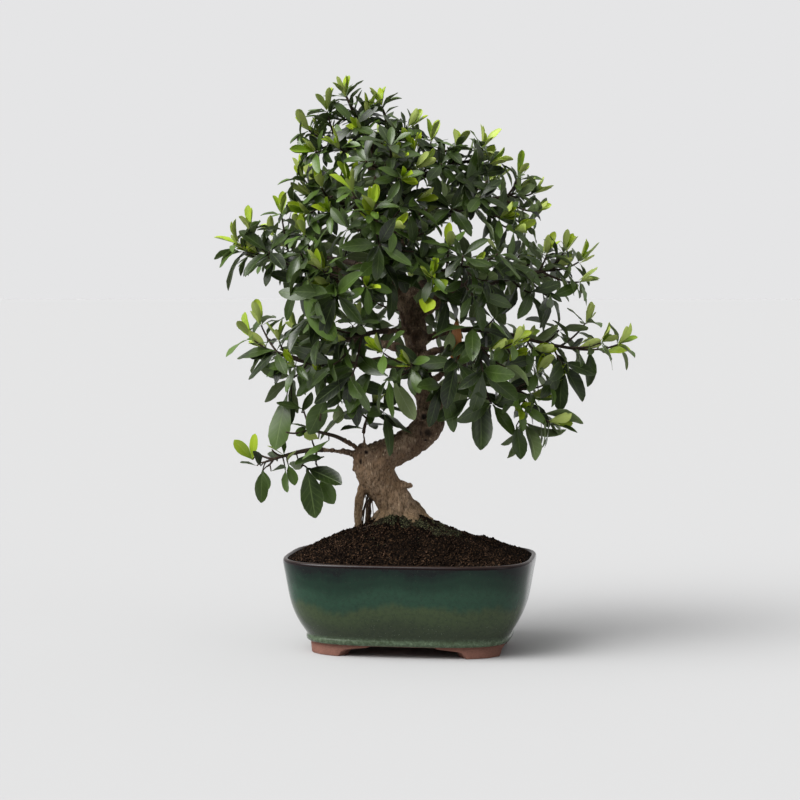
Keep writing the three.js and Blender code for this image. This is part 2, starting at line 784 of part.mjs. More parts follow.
// A side shoot leaves its limb behind the nearest point, by half its length, and turns up at its tip.
function shootCurve(limb, curve, tip) {
  const start = leafyStart(limb, curve);
  const places = [];
  for (let index = 0; index <= SHOOT_SAMPLES; index += 1) {
    const share = (index + FIRST_SAMPLE) / (SHOOT_SAMPLES + FIRST_SAMPLE);
    places.push(curve.getPoint(start + (1 - start) * share));
  }
  const reach = (index) => places[index].distanceTo(tip);
  let nearest = 0;
  for (let index = 1; index <= SHOOT_SAMPLES; index += 1) {
    nearest = reach(index) < reach(nearest) ? index : nearest;
  }
  let root = nearest;
  while (root > 1 && places[root].distanceTo(places[nearest]) < SHOOT_BACK * reach(nearest)) {
    root -= 1;
  }
  const middle = places[root].clone().lerp(tip, SHOOT_BEND);
  middle.z -= SHOOT_SAG * places[root].distanceTo(tip);
  return new THREE.QuadraticBezierCurve3(places[root], middle, tip);
}

function twigSolid(curve, extra) {
  const radiusAt = (t) => THREE.MathUtils.lerp(TWIG_RADIUS, TWIG_TIP_RADIUS, t) + extra;
  return solidOf(bentCylinder(curve, { sides: TWIG_SIDES, steps: TWIG_STEPS, radiusAt }));
}

// Outline of a blade: [share of the length, share of the width].
const MATURE_OUTLINE = [[0.42, 0.84], [0.78, 1]];
const YOUNG_OUTLINE = [[0.55, 1]];

function whorlRadial(station, angle) {
  const radial = station.across.clone().multiplyScalar(Math.cos(angle));
  return radial.addScaledVector(station.other, Math.sin(angle));
}

// How low a height is in the crown: 0 at the top and 1 at its lower edge.
function lowness(height) {
  const share = THREE.MathUtils.mapLinear(height, CROWN_TOP, CROWN_LOW, 0, 1);
  return THREE.MathUtils.clamp(share, 0, 1);
}

// Leaf `index` of the whorl at the tip of a shoot. Each further try lifts or drops it a little.
function leafAt(shoot, index, attempt) {
  const { tip, seed, turn } = shoot;
  const young = shoot.young && index === YOUNG_PLACE;
  const drawn = (range, which) => between(...range, seed + LEAF_SEED_STEP * index + which);
  const low = lowness(tip.place.z);
  const radial = whorlRadial(tip, turn + (2 * Math.PI * index) / WHORL);
  const nudge = Math.ceil(attempt / 2) * (attempt % 2 ? TRY_ANGLE : -TRY_ANGLE);
  const spread = nudge + drawn(young ? YOUNG_SPREAD : SPREAD, 1);
  const droop = drawn(young ? YOUNG_DROOP : DROOP, 2) + (young ? 0 : LOW_DROOP * low);
  const along = tip.along.clone().multiplyScalar(Math.cos(spread));
  along.addScaledVector(radial, Math.sin(spread)).addScaledVector(UP, -droop).normalize();
  const face = tip.along.clone().addScaledVector(UP, FACE_UPWARD);
  face.addScaledVector(along, -face.dot(along)).normalize();
  const growth = young ? 1 : THREE.MathUtils.lerp(TOP_GROWTH, LOW_GROWTH, low);
  const outerRange = shoot.young ? TIP_LENGTH : SHADED_LENGTH;
  const length = growth * drawn(young ? YOUNG_LENGTH : outerRange, 3);
  return {
    root: tip.place.clone().addScaledVector(radial, WHORL_RADIUS * Math.cos(Math.PI / WHORL)),
    along,
    face,
    side: new THREE.Vector3().crossVectors(along, face),
    length,
    width: length * drawn(WIDTH_SHARE, 5),
    bend: drawn(young ? YOUNG_BEND : BEND, 6),
    outline: young ? YOUNG_OUTLINE : MATURE_OUTLINE,
  };
}

// Point of a blade, arched along its length and flat across, at a share of its length.
function bladePoint(leaf, share, sideways, lift) {
  const point = leaf.root.clone().addScaledVector(leaf.along, leaf.length * share);
  point.addScaledVector(leaf.side, sideways);
  return point.addScaledVector(leaf.face, lift - leaf.bend * leaf.length * share * share);
}

// Five points round a blade: a flat top and a midrib that stands out below.
function bladeRing(leaf, share, breadth, extra) {
  const reach = (leaf.width / 2) * breadth + extra;
  const under = -BLADE_THICKNESS - extra;
  return [
    bladePoint(leaf, share, -reach, extra),
    bladePoint(leaf, share, reach, extra),
    bladePoint(leaf, share, reach, under),
    bladePoint(leaf, share, 0, under - MIDRIB),
    bladePoint(leaf, share, -reach, under),
  ];
}

// Collects the triangles of a mesh from points given as vectors.
function meshBuilder() {
  const positions = [];
  const faces = [];
  return {
    add(point) {
      positions.push(point.x, point.y, point.z);
      return positions.length / 3 - 1;
    },
    face(...corners) {
      for (let corner = 1; corner + 1 < corners.length; corner += 1) {
        faces.push(corners[0], corners[corner], corners[corner + 1]);
      }
    },
    geometry() {
      const geometry = new THREE.BufferGeometry();
      geometry.setAttribute('position', new THREE.Float32BufferAttribute(positions, 3));
      geometry.setIndex(faces);
      return geometry;
    },
  };
}

// Grows a blade on the root corners [top left, top right, bottom right, bottom left].
function growBlade(mesh, leaf, rootCorners, extra = 0) {
  const [topLeft, topRight, lowRight, lowLeft] = rootCorners;
  let ring = null;
  for (const [share, breadth] of leaf.outline) {
    const next = bladeRing(leaf, share, breadth, extra).map(mesh.add);
    if (ring === null) {
      mesh.face(topLeft, topRight, next[1], next[0]);
      mesh.face(topRight, lowRight, next[2], next[1]);
      mesh.face(lowRight, next[3], next[2]);
      mesh.face(lowRight, lowLeft, next[3]);
      mesh.face(lowLeft, next[4], next[3]);
      mesh.face(lowLeft, topLeft, next[0], next[4]);
    } else {
      for (let corner = 0; corner < 5; corner += 1) {
        const other = (corner + 1) % 5;
        mesh.face(ring[corner], ring[other], next[other], next[corner]);
      }
    }
    ring = next;
  }
  const end = 1 + extra / leaf.length;
  const top = mesh.add(bladePoint(leaf, end, 0, extra));
  const low = mesh.add(bladePoint(leaf, end, 0, -BLADE_THICKNESS - extra));
  mesh.face(ring[0], ring[1], top);
  mesh.face(ring[1], ring[2], low, top);
  mesh.face(ring[2], ring[3], low);
  mesh.face(ring[3], ring[4], low);
  mesh.face(ring[4], ring[0], top, low);
}

// The space that a blade needs round it, as a closed solid without its root.
function bladeRoom(leaf, from, extra) {
  const mesh = meshBuilder();
  const half = WHORL_RADIUS * Math.sin(Math.PI / WHORL);
  const [firstShare, firstBreadth] = leaf.outline[0];
  const firstHalf = (firstBreadth * leaf.width) / 2;
  const widened = half + (firstHalf - half) * (from / firstShare) + extra;
  const corners = [
    mesh.add(bladePoint(leaf, from, -widened, extra)),
    mesh.add(bladePoint(leaf, from, widened, extra)),
    mesh.add(bladePoint(leaf, from, widened, -WHORL_HEIGHT - extra)),
    mesh.add(bladePoint(leaf, from, -widened, -WHORL_HEIGHT - extra)),
  ];
  mesh.face(...[...corners].reverse());
  growBlade(mesh, leaf, corners, extra);
  return solidOf(mesh.geometry());
}

// A whorl: a small prism round the shoot, each of whose sides runs out into a leaf.
function whorlSolid(shoot, leaves) {
  const mesh = meshBuilder();
  const { tip, turn } = shoot;
  const corner = (index, lift) => {
    const radial = whorlRadial(tip, turn + (2 * Math.PI * (index - 0.5)) / WHORL);
    const point = tip.place.clone().addScaledVector(radial, WHORL_RADIUS);
    return mesh.add(point.addScaledVector(tip.along, lift));
  };
  const tops = leaves.map((leaf, index) => corner(index, WHORL_HEIGHT / 2));
  const lows = leaves.map((leaf, index) => corner(index, -WHORL_HEIGHT / 2));
  mesh.face(...[...tops].reverse());
  mesh.face(...lows);
  leaves.forEach((leaf, index) => {
    const next = (index + 1) % leaves.length;
    const root = [tops[index], tops[next], lows[next], lows[index]];
    if (leaf) {
      growBlade(mesh, leaf, root);
    } else {
      mesh.face(...root);
    }
  });
  return solidOf(mesh.geometry());
}

// Everything placed so far, with the node that it belongs to, so that new pieces keep clear of it.
const placed = [];

function place(solid, limb, seed) {
  placed.push({ solid, limb, seed, box: solid.boundingBox() });
  return solid;
}

function boxesMeet(a, b) {
  return [0, 1, 2].every((axis) => a.min[axis] <= b.max[axis] && b.min[axis] <= a.max[axis]);
}

function isClear(room, isOwn) {
  const box = room.boundingBox();
  const near = placed.filter((item) => !isOwn(item) && boxesMeet(item.box, box));
  return near.every((item) => room.intersect(item.solid).isEmpty());
}

function shootOf(curve, seed, young) {
  const [tip] = stationsAlong(curve, 1, 1, 1);
  return { tip, seed, young, turn: 2 * Math.PI * draw(seed) };
}

// Takes the room of a shoot's bare whorl.
function takeTip(shoot, limb) {
  place(whorlSolid(shoot, new Array(WHORL).fill(null)), limb, shoot.seed);
  return shoot;
}

// Twigs of the first side shoots of a limb, and the shoots with the limb's own end among them.
function plantShoots(limb, limbIndex, curve) {
  const shoots = [takeTip(shootOf(curve, 100 * limbIndex, true), limb)];
  const twigs = [];
  const kept = limb.shoots.slice(0, limb.kept ?? SHOOTS_KEPT);
  for (const [index, [right, back, up, young]] of kept.entries()) {
    const twig = shootCurve(limb, curve, new THREE.Vector3(right, back, up));
    if (isClear(twigSolid(twig, ROOM), (item) => item.limb === limb)) {
      twigs.push(place(twigSolid(twig, 0), limb));
      shoots.push(takeTip(shootOf(twig, 100 * limbIndex + index + 1, young === 1), limb));
    }
  }
  return { shoots, twigs };
}

// Leaves that would cross another piece are turned a little, and left out where that does not help.
function grownWhorl(shoot) {
  const leaves = [];
  const isOwn = (item) => item.seed === shoot.seed;
  for (let index = 0; index < WHORL; index += 1) {
    let leaf = null;
    for (let attempt = 0; attempt < TRIES && !leaf; attempt += 1) {
      const candidate = leafAt(shoot, index, attempt);
      leaf = isClear(bladeRoom(candidate, ROOM_FROM, ROOM), isOwn) ? candidate : null;
    }
    if (leaf) {
      place(bladeRoom(leaf, ROOM_FROM, 0));
    }
    leaves.push(leaf);
  }
  return whorlSolid(shoot, leaves);
}

function foliageMeshes() {
  const limbs = LIMBS.map((limb) => ({ limb, curve: curveOf(limb.points) }));
  for (const entry of limbs) {
    entry.stem = place(leafyLimbSolid(entry.limb, entry.curve), entry.limb);
  }
  for (const [index, entry] of limbs.entries()) {
    Object.assign(entry, plantShoots(entry.limb, index, entry.curve));
  }
  return limbs.map(({ limb, stem, twigs, shoots }) => {
    const whorls = shoots.map(grownWhorl);
    return namedMesh(`spray_${limb.name}`, geometryOf(joined([stem, ...twigs, ...whorls])), 'foliage');
  });
}

function plantGroup() {
  const plant = new THREE.Group();
  const trunk = trunkMesh();
  place(solidOf(trunk.geometry));
  plant.add(trunk, ...foliageMeshes());
  plant.rotation.z = PLANT_TURN;
  return plant;
}

// The origin is the middle of the footprint of the whole, on the surface that it stands on.
function bonsai() {
  const group = new THREE.Group();
  group.add(potMesh(), soilMesh(), plantGroup());
  group.add(screenMesh('drain_screen_left', -1), screenMesh('drain_screen_right', 1));
  group.updateMatrixWorld(true);
  const box = new THREE.Box3().setFromObject(group, true);
  const centre = box.getCenter(new THREE.Vector3());
  group.position.set(-centre.x, -centre.y, -box.min.z);
  return group;
}

export default bonsai();
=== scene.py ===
import bmesh
import bpy
import math
import numpy as np
from contextlib import contextmanager
from mathutils import Euler, Matrix, Vector


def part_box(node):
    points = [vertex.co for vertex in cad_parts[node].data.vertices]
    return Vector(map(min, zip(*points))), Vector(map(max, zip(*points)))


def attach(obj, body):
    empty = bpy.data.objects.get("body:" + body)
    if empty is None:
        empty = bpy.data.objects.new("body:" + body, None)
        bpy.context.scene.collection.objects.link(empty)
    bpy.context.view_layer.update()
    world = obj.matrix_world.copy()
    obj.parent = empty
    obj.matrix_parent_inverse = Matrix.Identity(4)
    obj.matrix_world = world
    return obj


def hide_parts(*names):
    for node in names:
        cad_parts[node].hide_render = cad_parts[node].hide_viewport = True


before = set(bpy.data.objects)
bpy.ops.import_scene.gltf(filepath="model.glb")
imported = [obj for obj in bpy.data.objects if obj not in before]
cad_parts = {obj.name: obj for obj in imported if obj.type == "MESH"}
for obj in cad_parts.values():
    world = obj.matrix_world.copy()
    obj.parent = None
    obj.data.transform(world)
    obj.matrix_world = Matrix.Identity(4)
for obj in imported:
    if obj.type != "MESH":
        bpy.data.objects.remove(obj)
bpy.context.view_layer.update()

# A firethorn grown as a small informal bonsai, in its glazed pot. Metres, +Z up, the long side of
# the pot along X. The plant's points are (right, back, up) from the middle of the pot's footprint,
# in a frame of the plant's own that is turned a little in the pot.

# Pot
pot_low, pot_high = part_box("pot")
POT_MIDDLE = Vector(((pot_low.x + pot_high.x) / 2, (pot_low.y + pot_high.y) / 2, pot_low.z))
POT_LENGTH = 0.25
POT_DEPTH = 0.184
PLAN_POWER = 3.5
PLAN_SIDES = 96
FOOT_HEIGHT = 0.011
FLOOR_TOP = 0.019
DRAIN_RADIUS = 0.008
DRAIN_DEPTH = 0.03
DRAIN_SPACING = 0.092
GLAZE_INSIDE = 0.084
GLAZE_LOWER_EDGE = 0.0122

# Wall of the pot, in three runs from the underside to the inner floor: (inset from the rim, height).
OUTER_WALL = [
    (0.0298, FOOT_HEIGHT), (0.0255, 0.0113), (0.0228, 0.0125), (0.0221, 0.0145), (0.0222, 0.0168),
    (0.0233, 0.018), (0.0224, 0.0196), (0.0188, 0.025), (0.013, 0.0345), (0.0074, 0.049), (0.0048, 0.0635),
    (0.0026, 0.077), (0.0007, 0.087), (0, 0.0915),
]
RIM = [(0.0003, 0.0935), (0.0016, 0.0948), (0.0038, 0.0948), (0.0052, 0.0935)]
INNER_WALL = [
    (0.0058, 0.088), (0.0075, 0.075), (0.0155, 0.046), (0.0285, 0.024), (0.0345, FLOOR_TOP),
    (0.045, FLOOR_TOP),
]

# Bracket foot round one corner: (angle in the plan in degrees, height of its underside).
FOOT_PROFILE = [
    (5, 0.0098), (16, 0.0068), (19.5, 0.0035), (21, 0), (62, 0), (63.5, 0.0035), (67, 0.0068),
    (81, 0.0098),
]
FOOT_INSET = 0.0267
FOOT_WIDTH = 0.013
FOOT_SINK = 0.002
FOOT_STATIONS = 40

# Soil, mounded up to the trunk, and what lies and grows on it
SOIL_EDGE = 0.0932
SOIL_TOP = 0.136
SOIL_EDGE_INSET = 0.0058
SOIL_SIDES = [(0.0165, 0.046), (0.0295, 0.026), (0.036, 0.022)]
MOUND_CENTRE = -0.012
MOUND_POWER = 1.1
MOUND_FLAT = 0.1
MOUND_LUMPS = ((0.0016, 3, 7), (0.0011, 7, -11))
SOIL_GRID = (200, 160)
CRUMB_COUNT = 4000
FLECK_COUNT = 240
ROOTLET_COUNT = 12

# Plant
PLANT_TURN = math.radians(8.2)
PLANT_PLACE = Matrix.Translation(POT_MIDDLE) @ Matrix.Rotation(PLANT_TURN, 4, "Z")
LIMB_END_RADIUS = 0.0011
TWIG_RADIUS = 0.0012
TWIG_TIP_RADIUS = 0.0008
WHORL = 4
WHORL_RADIUS = 0.0015
YOUNG_PLACE = 1
SHOOT_BACK = 0.5
SHOOT_BEND = 0.6
SHOOT_SAG = 0.16
SHOOT_SAMPLES = 24
FIRST_SAMPLE = 0.6
UP = Vector((0, 0, 1))

# Leaves: lengths, angles and shares between which each leaf's own is drawn.
SHADED_LENGTH = (0.031, 0.046)
TIP_LENGTH = (0.023, 0.034)
YOUNG_LENGTH = (0.015, 0.024)
STEM_LENGTH = (0.022, 0.036)
STEM_SPREAD = (0.7, 1.25)
STEM_DROOP = (-0.2, 0.3)
WIDTH_SHARE = (0.31, 0.4)
YOUNG_WIDTH_SHARE = (0.3, 0.38)
SPREAD = (0.9, 1.3)
YOUNG_SPREAD = (0.35, 0.6)
DROOP = (-0.15, 0.3)
YOUNG_DROOP = (-0.3, -0.3)
BEND = (0.06, 0.42)
YOUNG_BEND = (-0.05, -0.05)
SHADED_TINT = (-0.1, 0.45)
TIP_TINT = (0.3, 1.1)
LIMB_SEED_STEP = 100
LEAF_SEED_STEP = 0.37
STEM_SEED_STEP = 0.29
GOLDEN_ANGLE = math.radians(137.5)

# Low in the crown the leaves are larger and hang down more than near the top.
CROWN_LOW = 0.2
CROWN_TOP = 0.5
LOW_GROWTH = 1.08
TOP_GROWTH = 0.74
LOW_DROOP = 0.55

# Leaf blades are folded at the rib and waved along their edges by these shares of the width, turned
# on towards the tip by this angle, and bent aside by this share of the length.
LEAF_FOLD = 0.28
LEAF_WAVE = 0.07
LEAF_TWIST = 0.5
LEAF_SWAY = 0.08
FOLD_RANGE = (-0.3, 1.2)

# What grows besides the leaves that the frame has: fresh ones in the young tips, and leaves set by
# themselves along the limbs and side shoots. Of the fresh leaves in a tip the first ones are long.
# At the top of the crown this share of the other tips is young too.
FRESH_LEAVES = 5
FRESH_LONG = 3
FRESH_SHARE = 0.4
FRESH_BEND = (-0.3, 0.1)
FRESH_FOLD = (0.7, 1.6)
LONG_LENGTH = (0.018, 0.027)
LONG_SPREAD = (0.3, 0.65)
SMALL_LENGTH = (0.009, 0.015)
SMALL_SPREAD = (0.15, 0.5)
SHOOT_STEPS = 6

# Number of leaves along a limb and along a side shoot: high in the crown, and low in it.
LIMB_LEAVES = (16, 4)
SHOOT_LEAVES = (7, 0)

# Crumbled soil: (size of the lumps, how far they rise and sink).
CRUMBLING = ((0.016, 0.005), (0.004, 0.005), (0.0018, 0.0045))
CRUMB_SIZE = (0.0005, 0.0017)
FLECK_SIZE = (0.0008, 0.0024)

# The crumbling fades out over the last thirtieth of the way to the wall. Crumbs are lumps of
# uneven radius and stretch, and flecks are bent splinters, both strewn by seeded draws.
EDGE_FADE = 30
LUMP_RADIUS = (0.65, 1.25)
LUMP_STRETCH = (0.6, 1.2)
SPLINTER_RADIUS = 0.11
SPLINTER_BEND = 0.25
STREWN_STEP = 1.7
STREWN_REACHES = (0.05, 0.99)
CRUMB_SEED = 5000
FLECK_SEED = 9000

# Moss: (number of tufts, seed, sizes, reaches, angles) on the mound.
MOSS_PATCHES = [
    (700, 300, (0.0006, 0.0021), (0.04, 0.3), (-2.2, -0.7)),
    (480, 1300, (0.0005, 0.0019), (0.18, 0.5), (-1.1, 0)),
    (260, 2300, (0.0004, 0.0012), (0.15, 0.6), (-3.1, 3.1)),
]

# Thin roots on the mound, from a first to a last reach, swaying on the way.
ROOTLET_SEED = 700
ROOTLET_SEED_STEP = 5.3
ROOTLET_ANGLES = (-3.05, -2.2)
ROOTLET_START = (0.1, 0.2)
ROOTLET_END = (0.3, 0.62)
ROOTLET_SWAY = 0.12
ROOTLET_RADIUS = (0.0007, 0.0013)
ROOTLET_TIP_RADIUS = 0.0003
ROOTLET_STEPS = 12

# Thin roots that hang in the air: where they start and end (right, back, up), and how far they
# sway between.
AIR_ROOT_COUNT = 7
AIR_ROOT_SEED = 40
AIR_ROOT_SEED_STEP = 3.1
AIR_ROOT_TOP = ((-0.047, -0.034), (-0.004, 0.01), 0.157)
AIR_ROOT_FOOT = ((-0.054, -0.034), (-0.012, 0.012), 0.12)
AIR_ROOT_SWAY = (-0.004, 0.004)
AIR_ROOT_RADIUS = (0.0004, 0.0011)
AIR_ROOT_STEPS = 8

# Trunk: size of the grid that grows its wood together, and stations and sides of its tubes
TRUNK_VOXEL = 0.00105
TRUNK_STEPS = 88
ROOT_STEPS = 10
LIMB_STEPS = 6
TRUNK_SIDES = 16
THIN_SIDES = 8
HOLLOW_SHADE_SHARPNESS = 1.6

# Relief of the bark: (kind of pattern, its size, how far it stands out). It is drawn out upwards.
BARK_STRETCH = 2.2
BARK_RELIEF = [("CLOUDS", 0.02, 0.004), ("MUSGRAVE", 0.006, -0.0012), ("CLOUDS", 0.0024, 0.0011)]

# Details of the trunk: knots as burls are given, scars as (place, width, height, thickness, turn),
# and hollows as (place, radius, stretch upwards, depth, darkness of the painted shade in them).
KNOTS = [
    (-0.055, -0.003, 0.188, 0.0034, 1), (-0.0555, -0.002, 0.181, 0.003, 1.2),
    (0.0115, -0.0175, 0.237, 0.0065, 1), (-0.0012, -0.005, 0.1645, 0.0026, 1),
    (-0.043, -0.013, 0.2, 0.006, 0.9), (-0.05, -0.01, 0.194, 0.005, 1),
]
SCARS = [
    ((0.0065, -0.0125, 0.3135), 0.011, 0.012, 0.32, 8),
    ((0.0168, -0.0205, 0.2185), 0.014, 0.015, 0.2, 10),
]
HOLLOWS = [
    ((0.0065, -0.0165, 0.3135), 0.0055, 1.1, 0.006, 1),
    ((0.0168, -0.0245, 0.2185), 0.0062, 1.1, 0.004, 0.9),
    ((0.009, -0.0225, 0.219), 0.0028, 2.6, 0.003, 0.9), ((0.015, -0.0225, 0.2112), 0.0035, 0.6, 0.003, 0.9),
    ((0.013, -0.022, 0.2345), 0.006, 0.9, 0.005, 1), ((-0.0445, -0.0185, 0.1985), 0.0035, 1, 0.004, 1),
    ((-0.05, -0.0145, 0.189), 0.003, 1.4, 0.003, 0.9), ((-0.0325, -0.013, 0.155), 0.0026, 0.9, 0.003, 0.9),
    ((-0.028, -0.0155, 0.152), 0.0024, 0.7, 0.003, 0.9), ((-0.023, -0.017, 0.148), 0.0022, 0.7, 0.003, 0.9),
]

# Side shoots that fill the middle of the crown in front of the trunk: (right, back, up, young).
MORE_SHOOTS = {
    "front_upper": [
        (0.012, -0.05, 0.416, 0), (0.002, -0.066, 0.398, 0), (-0.018, -0.05, 0.386, 0),
        (0.014, -0.034, 0.434, 0),
    ],
    "front_right_high": [
        (0.003, -0.052, 0.388, 0), (0.024, -0.038, 0.404, 0), (0.036, -0.05, 0.352, 0),
        (0.012, -0.03, 0.42, 0),
    ],
    "front_left_high": [(-0.03, -0.06, 0.39, 0), (-0.022, -0.05, 0.374, 0), (-0.012, -0.03, 0.404, 0)],
    "front_top": [(-0.012, -0.04, 0.456, 0), (0.004, -0.04, 0.448, 0)],
}

# Leaves that stand out in the photograph: (limb, kind, root, tip, direction that the face looks to,
# width as a share of the length, tint). Two limbs have no other leaves than these.
HAND_LIMBS = ("low_left", "low_left_front")
HAND_GROWTH = 1.1
HAND_BEND = (0.02, 0.14)
HAND_SEED_SCALE = 100
HAND_STALK_RADII = (0.0009, 0.0007, 0.0006)
HAND_STALK_RISE = 0.1
HAND_LEAVES = [
    ("low_left", "mature", (-0.103, -0.026, 0.184), (-0.071, -0.044, 0.173), (0.2, -0.7, 0.8), 0.5, 0),
    ("low_left", "mature", (-0.086, -0.024, 0.195), (-0.112, -0.036, 0.19), (0.1, -0.6, 0.9), 0.48, 0.1),
    ("low_left", "mature", (-0.103, -0.028, 0.185), (-0.095, -0.036, 0.14), (-0.1, -1, 0.2), 0.45, 0.1),
    ("low_left", "mature", (-0.09, -0.02, 0.174), (-0.079, -0.024, 0.15), (0.2, -1, 0.1), 0.58, 0.9),
    ("low_left", "mature", (-0.122, -0.02, 0.187), (-0.116, -0.026, 0.169), (0.3, -1, 0.1), 0.5, 0.7),
    ("low_left", "mature", (-0.125, -0.014, 0.181), (-0.124, -0.012, 0.16), (-0.6, -1, 0), 0.4, 1),
    ("low_left", "mature", (-0.147, -0.024, 0.182), (-0.15, -0.03, 0.153), (-0.1, -1, 0.2), 0.43, 0.25),
    ("low_left", "mature", (-0.147, -0.016, 0.181), (-0.144, -0.014, 0.162), (0.2, -1, 0), 0.5, 0.8),
    ("low_left", "mature", (-0.149, -0.026, 0.186), (-0.154, -0.036, 0.2), (0.4, -0.8, 0.6), 0.5, 0),
    ("low_left", "mature", (-0.139, -0.018, 0.18), (-0.125, -0.03, 0.185), (0, -0.5, 1), 0.42, 0),
    ("low_left", "young", (-0.157, -0.022, 0.192), (-0.173, -0.03, 0.21), (0.3, -1, 0.2), 0.42, 0.35),
    ("low_left", "young", (-0.157, -0.022, 0.192), (-0.156, -0.024, 0.216), (-0.5, -1, 0), 0.36, 0.5),
    ("low_left", "mature", (-0.153, -0.022, 0.186), (-0.167, -0.034, 0.191), (0, -0.3, 1), 0.4, 0.1),
    ("low_left", "young", (-0.126, -0.02, 0.196), (-0.14, -0.03, 0.207), (0.2, -0.3, 1), 0.36, 0.2),
    ("low_left", "mature", (-0.126, -0.02, 0.196), (-0.128, -0.012, 0.214), (0.9, -0.5, 0.1), 0.34, 0.8),
    ("low_left", "young", (-0.123, -0.02, 0.19), (-0.115, -0.036, 0.202), (0, -0.6, 0.8), 0.4, 0),
    ("low_left", "mature", (-0.133, -0.016, 0.19), (-0.14, 0.004, 0.198), (0, 0.3, 1), 0.45, 0.1),
    ("low_left", "mature", (-0.112, -0.016, 0.19), (-0.118, 0.014, 0.182), (0, 0.4, 1), 0.42, 0.2),
    ("low_left_front", "mature", (-0.081, -0.03, 0.212), (-0.106, -0.04, 0.197), (0, -0.4, 1), 0.34, 0.9),
    ("low_left_front", "young", (-0.091, -0.036, 0.214), (-0.104, -0.048, 0.22), (0.1, 1, 0.3), 0.55, 0.3),
    (
        "low_left_front", "mature", (-0.103, -0.04, 0.227), (-0.111, -0.05, 0.219),
        (0.3, -0.9, 0.4), 0.55, 0.3,
    ),
    ("low_left_front", "mature", (-0.095, -0.044, 0.223), (-0.116, -0.056, 0.232), (0, -0.2, 1), 0.34, 0),
    (
        "low_left_front", "mature", (-0.108, -0.036, 0.24), (-0.098, -0.04, 0.258),
        (0.5, -0.8, 0.3), 0.4, 0.3,
    ),
    ("low_left_front", "mature", (-0.106, -0.034, 0.243), (-0.13, -0.03, 0.25), (0, -0.5, 1), 0.38, 0.1),
    ("low_left_front", "mature", (-0.088, -0.052, 0.24), (-0.072, -0.066, 0.244), (0, -0.5, 1), 0.4, 0.4),
    ("left_mid", "mature", (-0.083, -0.04, 0.256), (-0.096, -0.056, 0.224), (0.5, -1, 0.1), 0.5, 0.4),
    ("left_mid", "mature", (-0.123, -0.02, 0.256), (-0.135, -0.034, 0.209), (-0.4, -1, 0.2), 0.42, 0.5),
    ("left_mid", "mature", (-0.119, -0.012, 0.254), (-0.122, -0.014, 0.226), (0.4, -1, 0), 0.4, 0.1),
    ("left_mid", "mature", (-0.072, -0.026, 0.248), (-0.071, -0.03, 0.23), (0.1, 1, 0.2), 0.6, 0.9),
    ("left_mid", "mature", (-0.052, -0.04, 0.254), (-0.06, -0.05, 0.242), (-0.3, -1, 0.5), 0.6, 0.9),
    ("front_left", "mature", (-0.038, -0.04, 0.284), (-0.057, -0.058, 0.245), (-0.5, -0.9, 0.4), 0.4, 0.5),
    (
        "front_left_high", "mature", (-0.105, -0.06, 0.361), (-0.08, -0.078, 0.316),
        (-0.3, -1, 0.2), 0.38, 0.8,
    ),
    ("front_left_high", "mature", (-0.084, -0.05, 0.377), (-0.09, -0.066, 0.314), (0.2, -1, 0.1), 0.28, 0),
    ("front_low", "mature", (-0.018, -0.05, 0.274), (0.002, -0.062, 0.237), (-0.3, 1, 0), 0.34, 0.6),
    ("front_right_low", "old", (0.045, -0.03, 0.336), (0.045, -0.044, 0.292), (-0.3, -1, 0), 0.24, 0.4),
    ("front_right_low", "mature", (0.039, -0.03, 0.321), (0.038, -0.044, 0.3), (0.2, 1, 0), 0.45, 0.3),
    ("front_right_high", "young", (0.017, -0.064, 0.354), (0.014, -0.078, 0.341), (0, -0.8, 0.4), 0.8, 0.8),
    ("front_right_high", "young", (0.017, -0.066, 0.358), (0.022, -0.07, 0.38), (-0.4, -1, 0.2), 0.36, 0.3),
    (
        "front_right_high", "young", (0.018, -0.066, 0.358), (0.033, -0.078, 0.37),
        (-0.2, -0.8, 0.6), 0.4, 0.2,
    ),
    ("low_right", "mature", (0.069, -0.03, 0.254), (0.07, -0.042, 0.208), (0.1, -1, 0.2), 0.42, 0.1),
    ("low_right", "mature", (0.058, -0.036, 0.254), (0.029, -0.052, 0.237), (0, -0.7, 0.7), 0.4, 0.2),
    ("low_right", "mature", (0.105, -0.02, 0.226), (0.11, -0.026, 0.196), (-0.2, -1, 0.1), 0.45, 0.2),
    ("low_right", "mature", (0.136, -0.022, 0.228), (0.163, -0.028, 0.224), (0, -0.3, 1), 0.3, 0.2),
    ("right_far", "mature", (0.151, -0.016, 0.285), (0.147, -0.02, 0.244), (-0.5, -1, 0.1), 0.36, 0.1),
    ("right_far", "mature", (0.178, -0.014, 0.301), (0.176, -0.02, 0.268), (0.4, -1, 0), 0.36, 0.1),
    ("right_far", "young", (0.192, -0.012, 0.298), (0.216, -0.016, 0.301), (0, -0.8, 0.6), 0.5, 0.5),
]

# Studio light: brightness of the backdrop, of the dim room behind the camera and of the ceiling,
# and soft lights as (axis, sharpness, strength).
BACKDROP = 0xE5E5E6
BACKDROP_LEVEL = 0.44
WALL_FADE = {1: -0.35, 2: 0.1}
CEILING_FADE = {1: 0.05, 2: 0.75}
ROOM_LEVEL = 0.07
CEILING_LEVEL = 0.5
BACKWARD = (-math.sin(PLANT_TURN), math.cos(PLANT_TURN), 0)
SOFT_LIGHTS = [
    (Vector((-0.5, -0.42, 0.75)).normalized(), 14, 12),
    (Vector((0.85, -0.45, 0.25)).normalized(), 30, 1),
]
FLOOR_REACH = 20
FLOOR_FRONT = 0.66
FLOOR_TONE = (0.488, 0.488, 0.49)

# Camera, from the photograph: its place in the plant's own frame, and how far it looks down.
CAMERA_PLACE = (-0.0107, -2.279, 0.391)
CAMERA_PITCH = math.radians(3.54)
CAMERA_LENS = 102.6

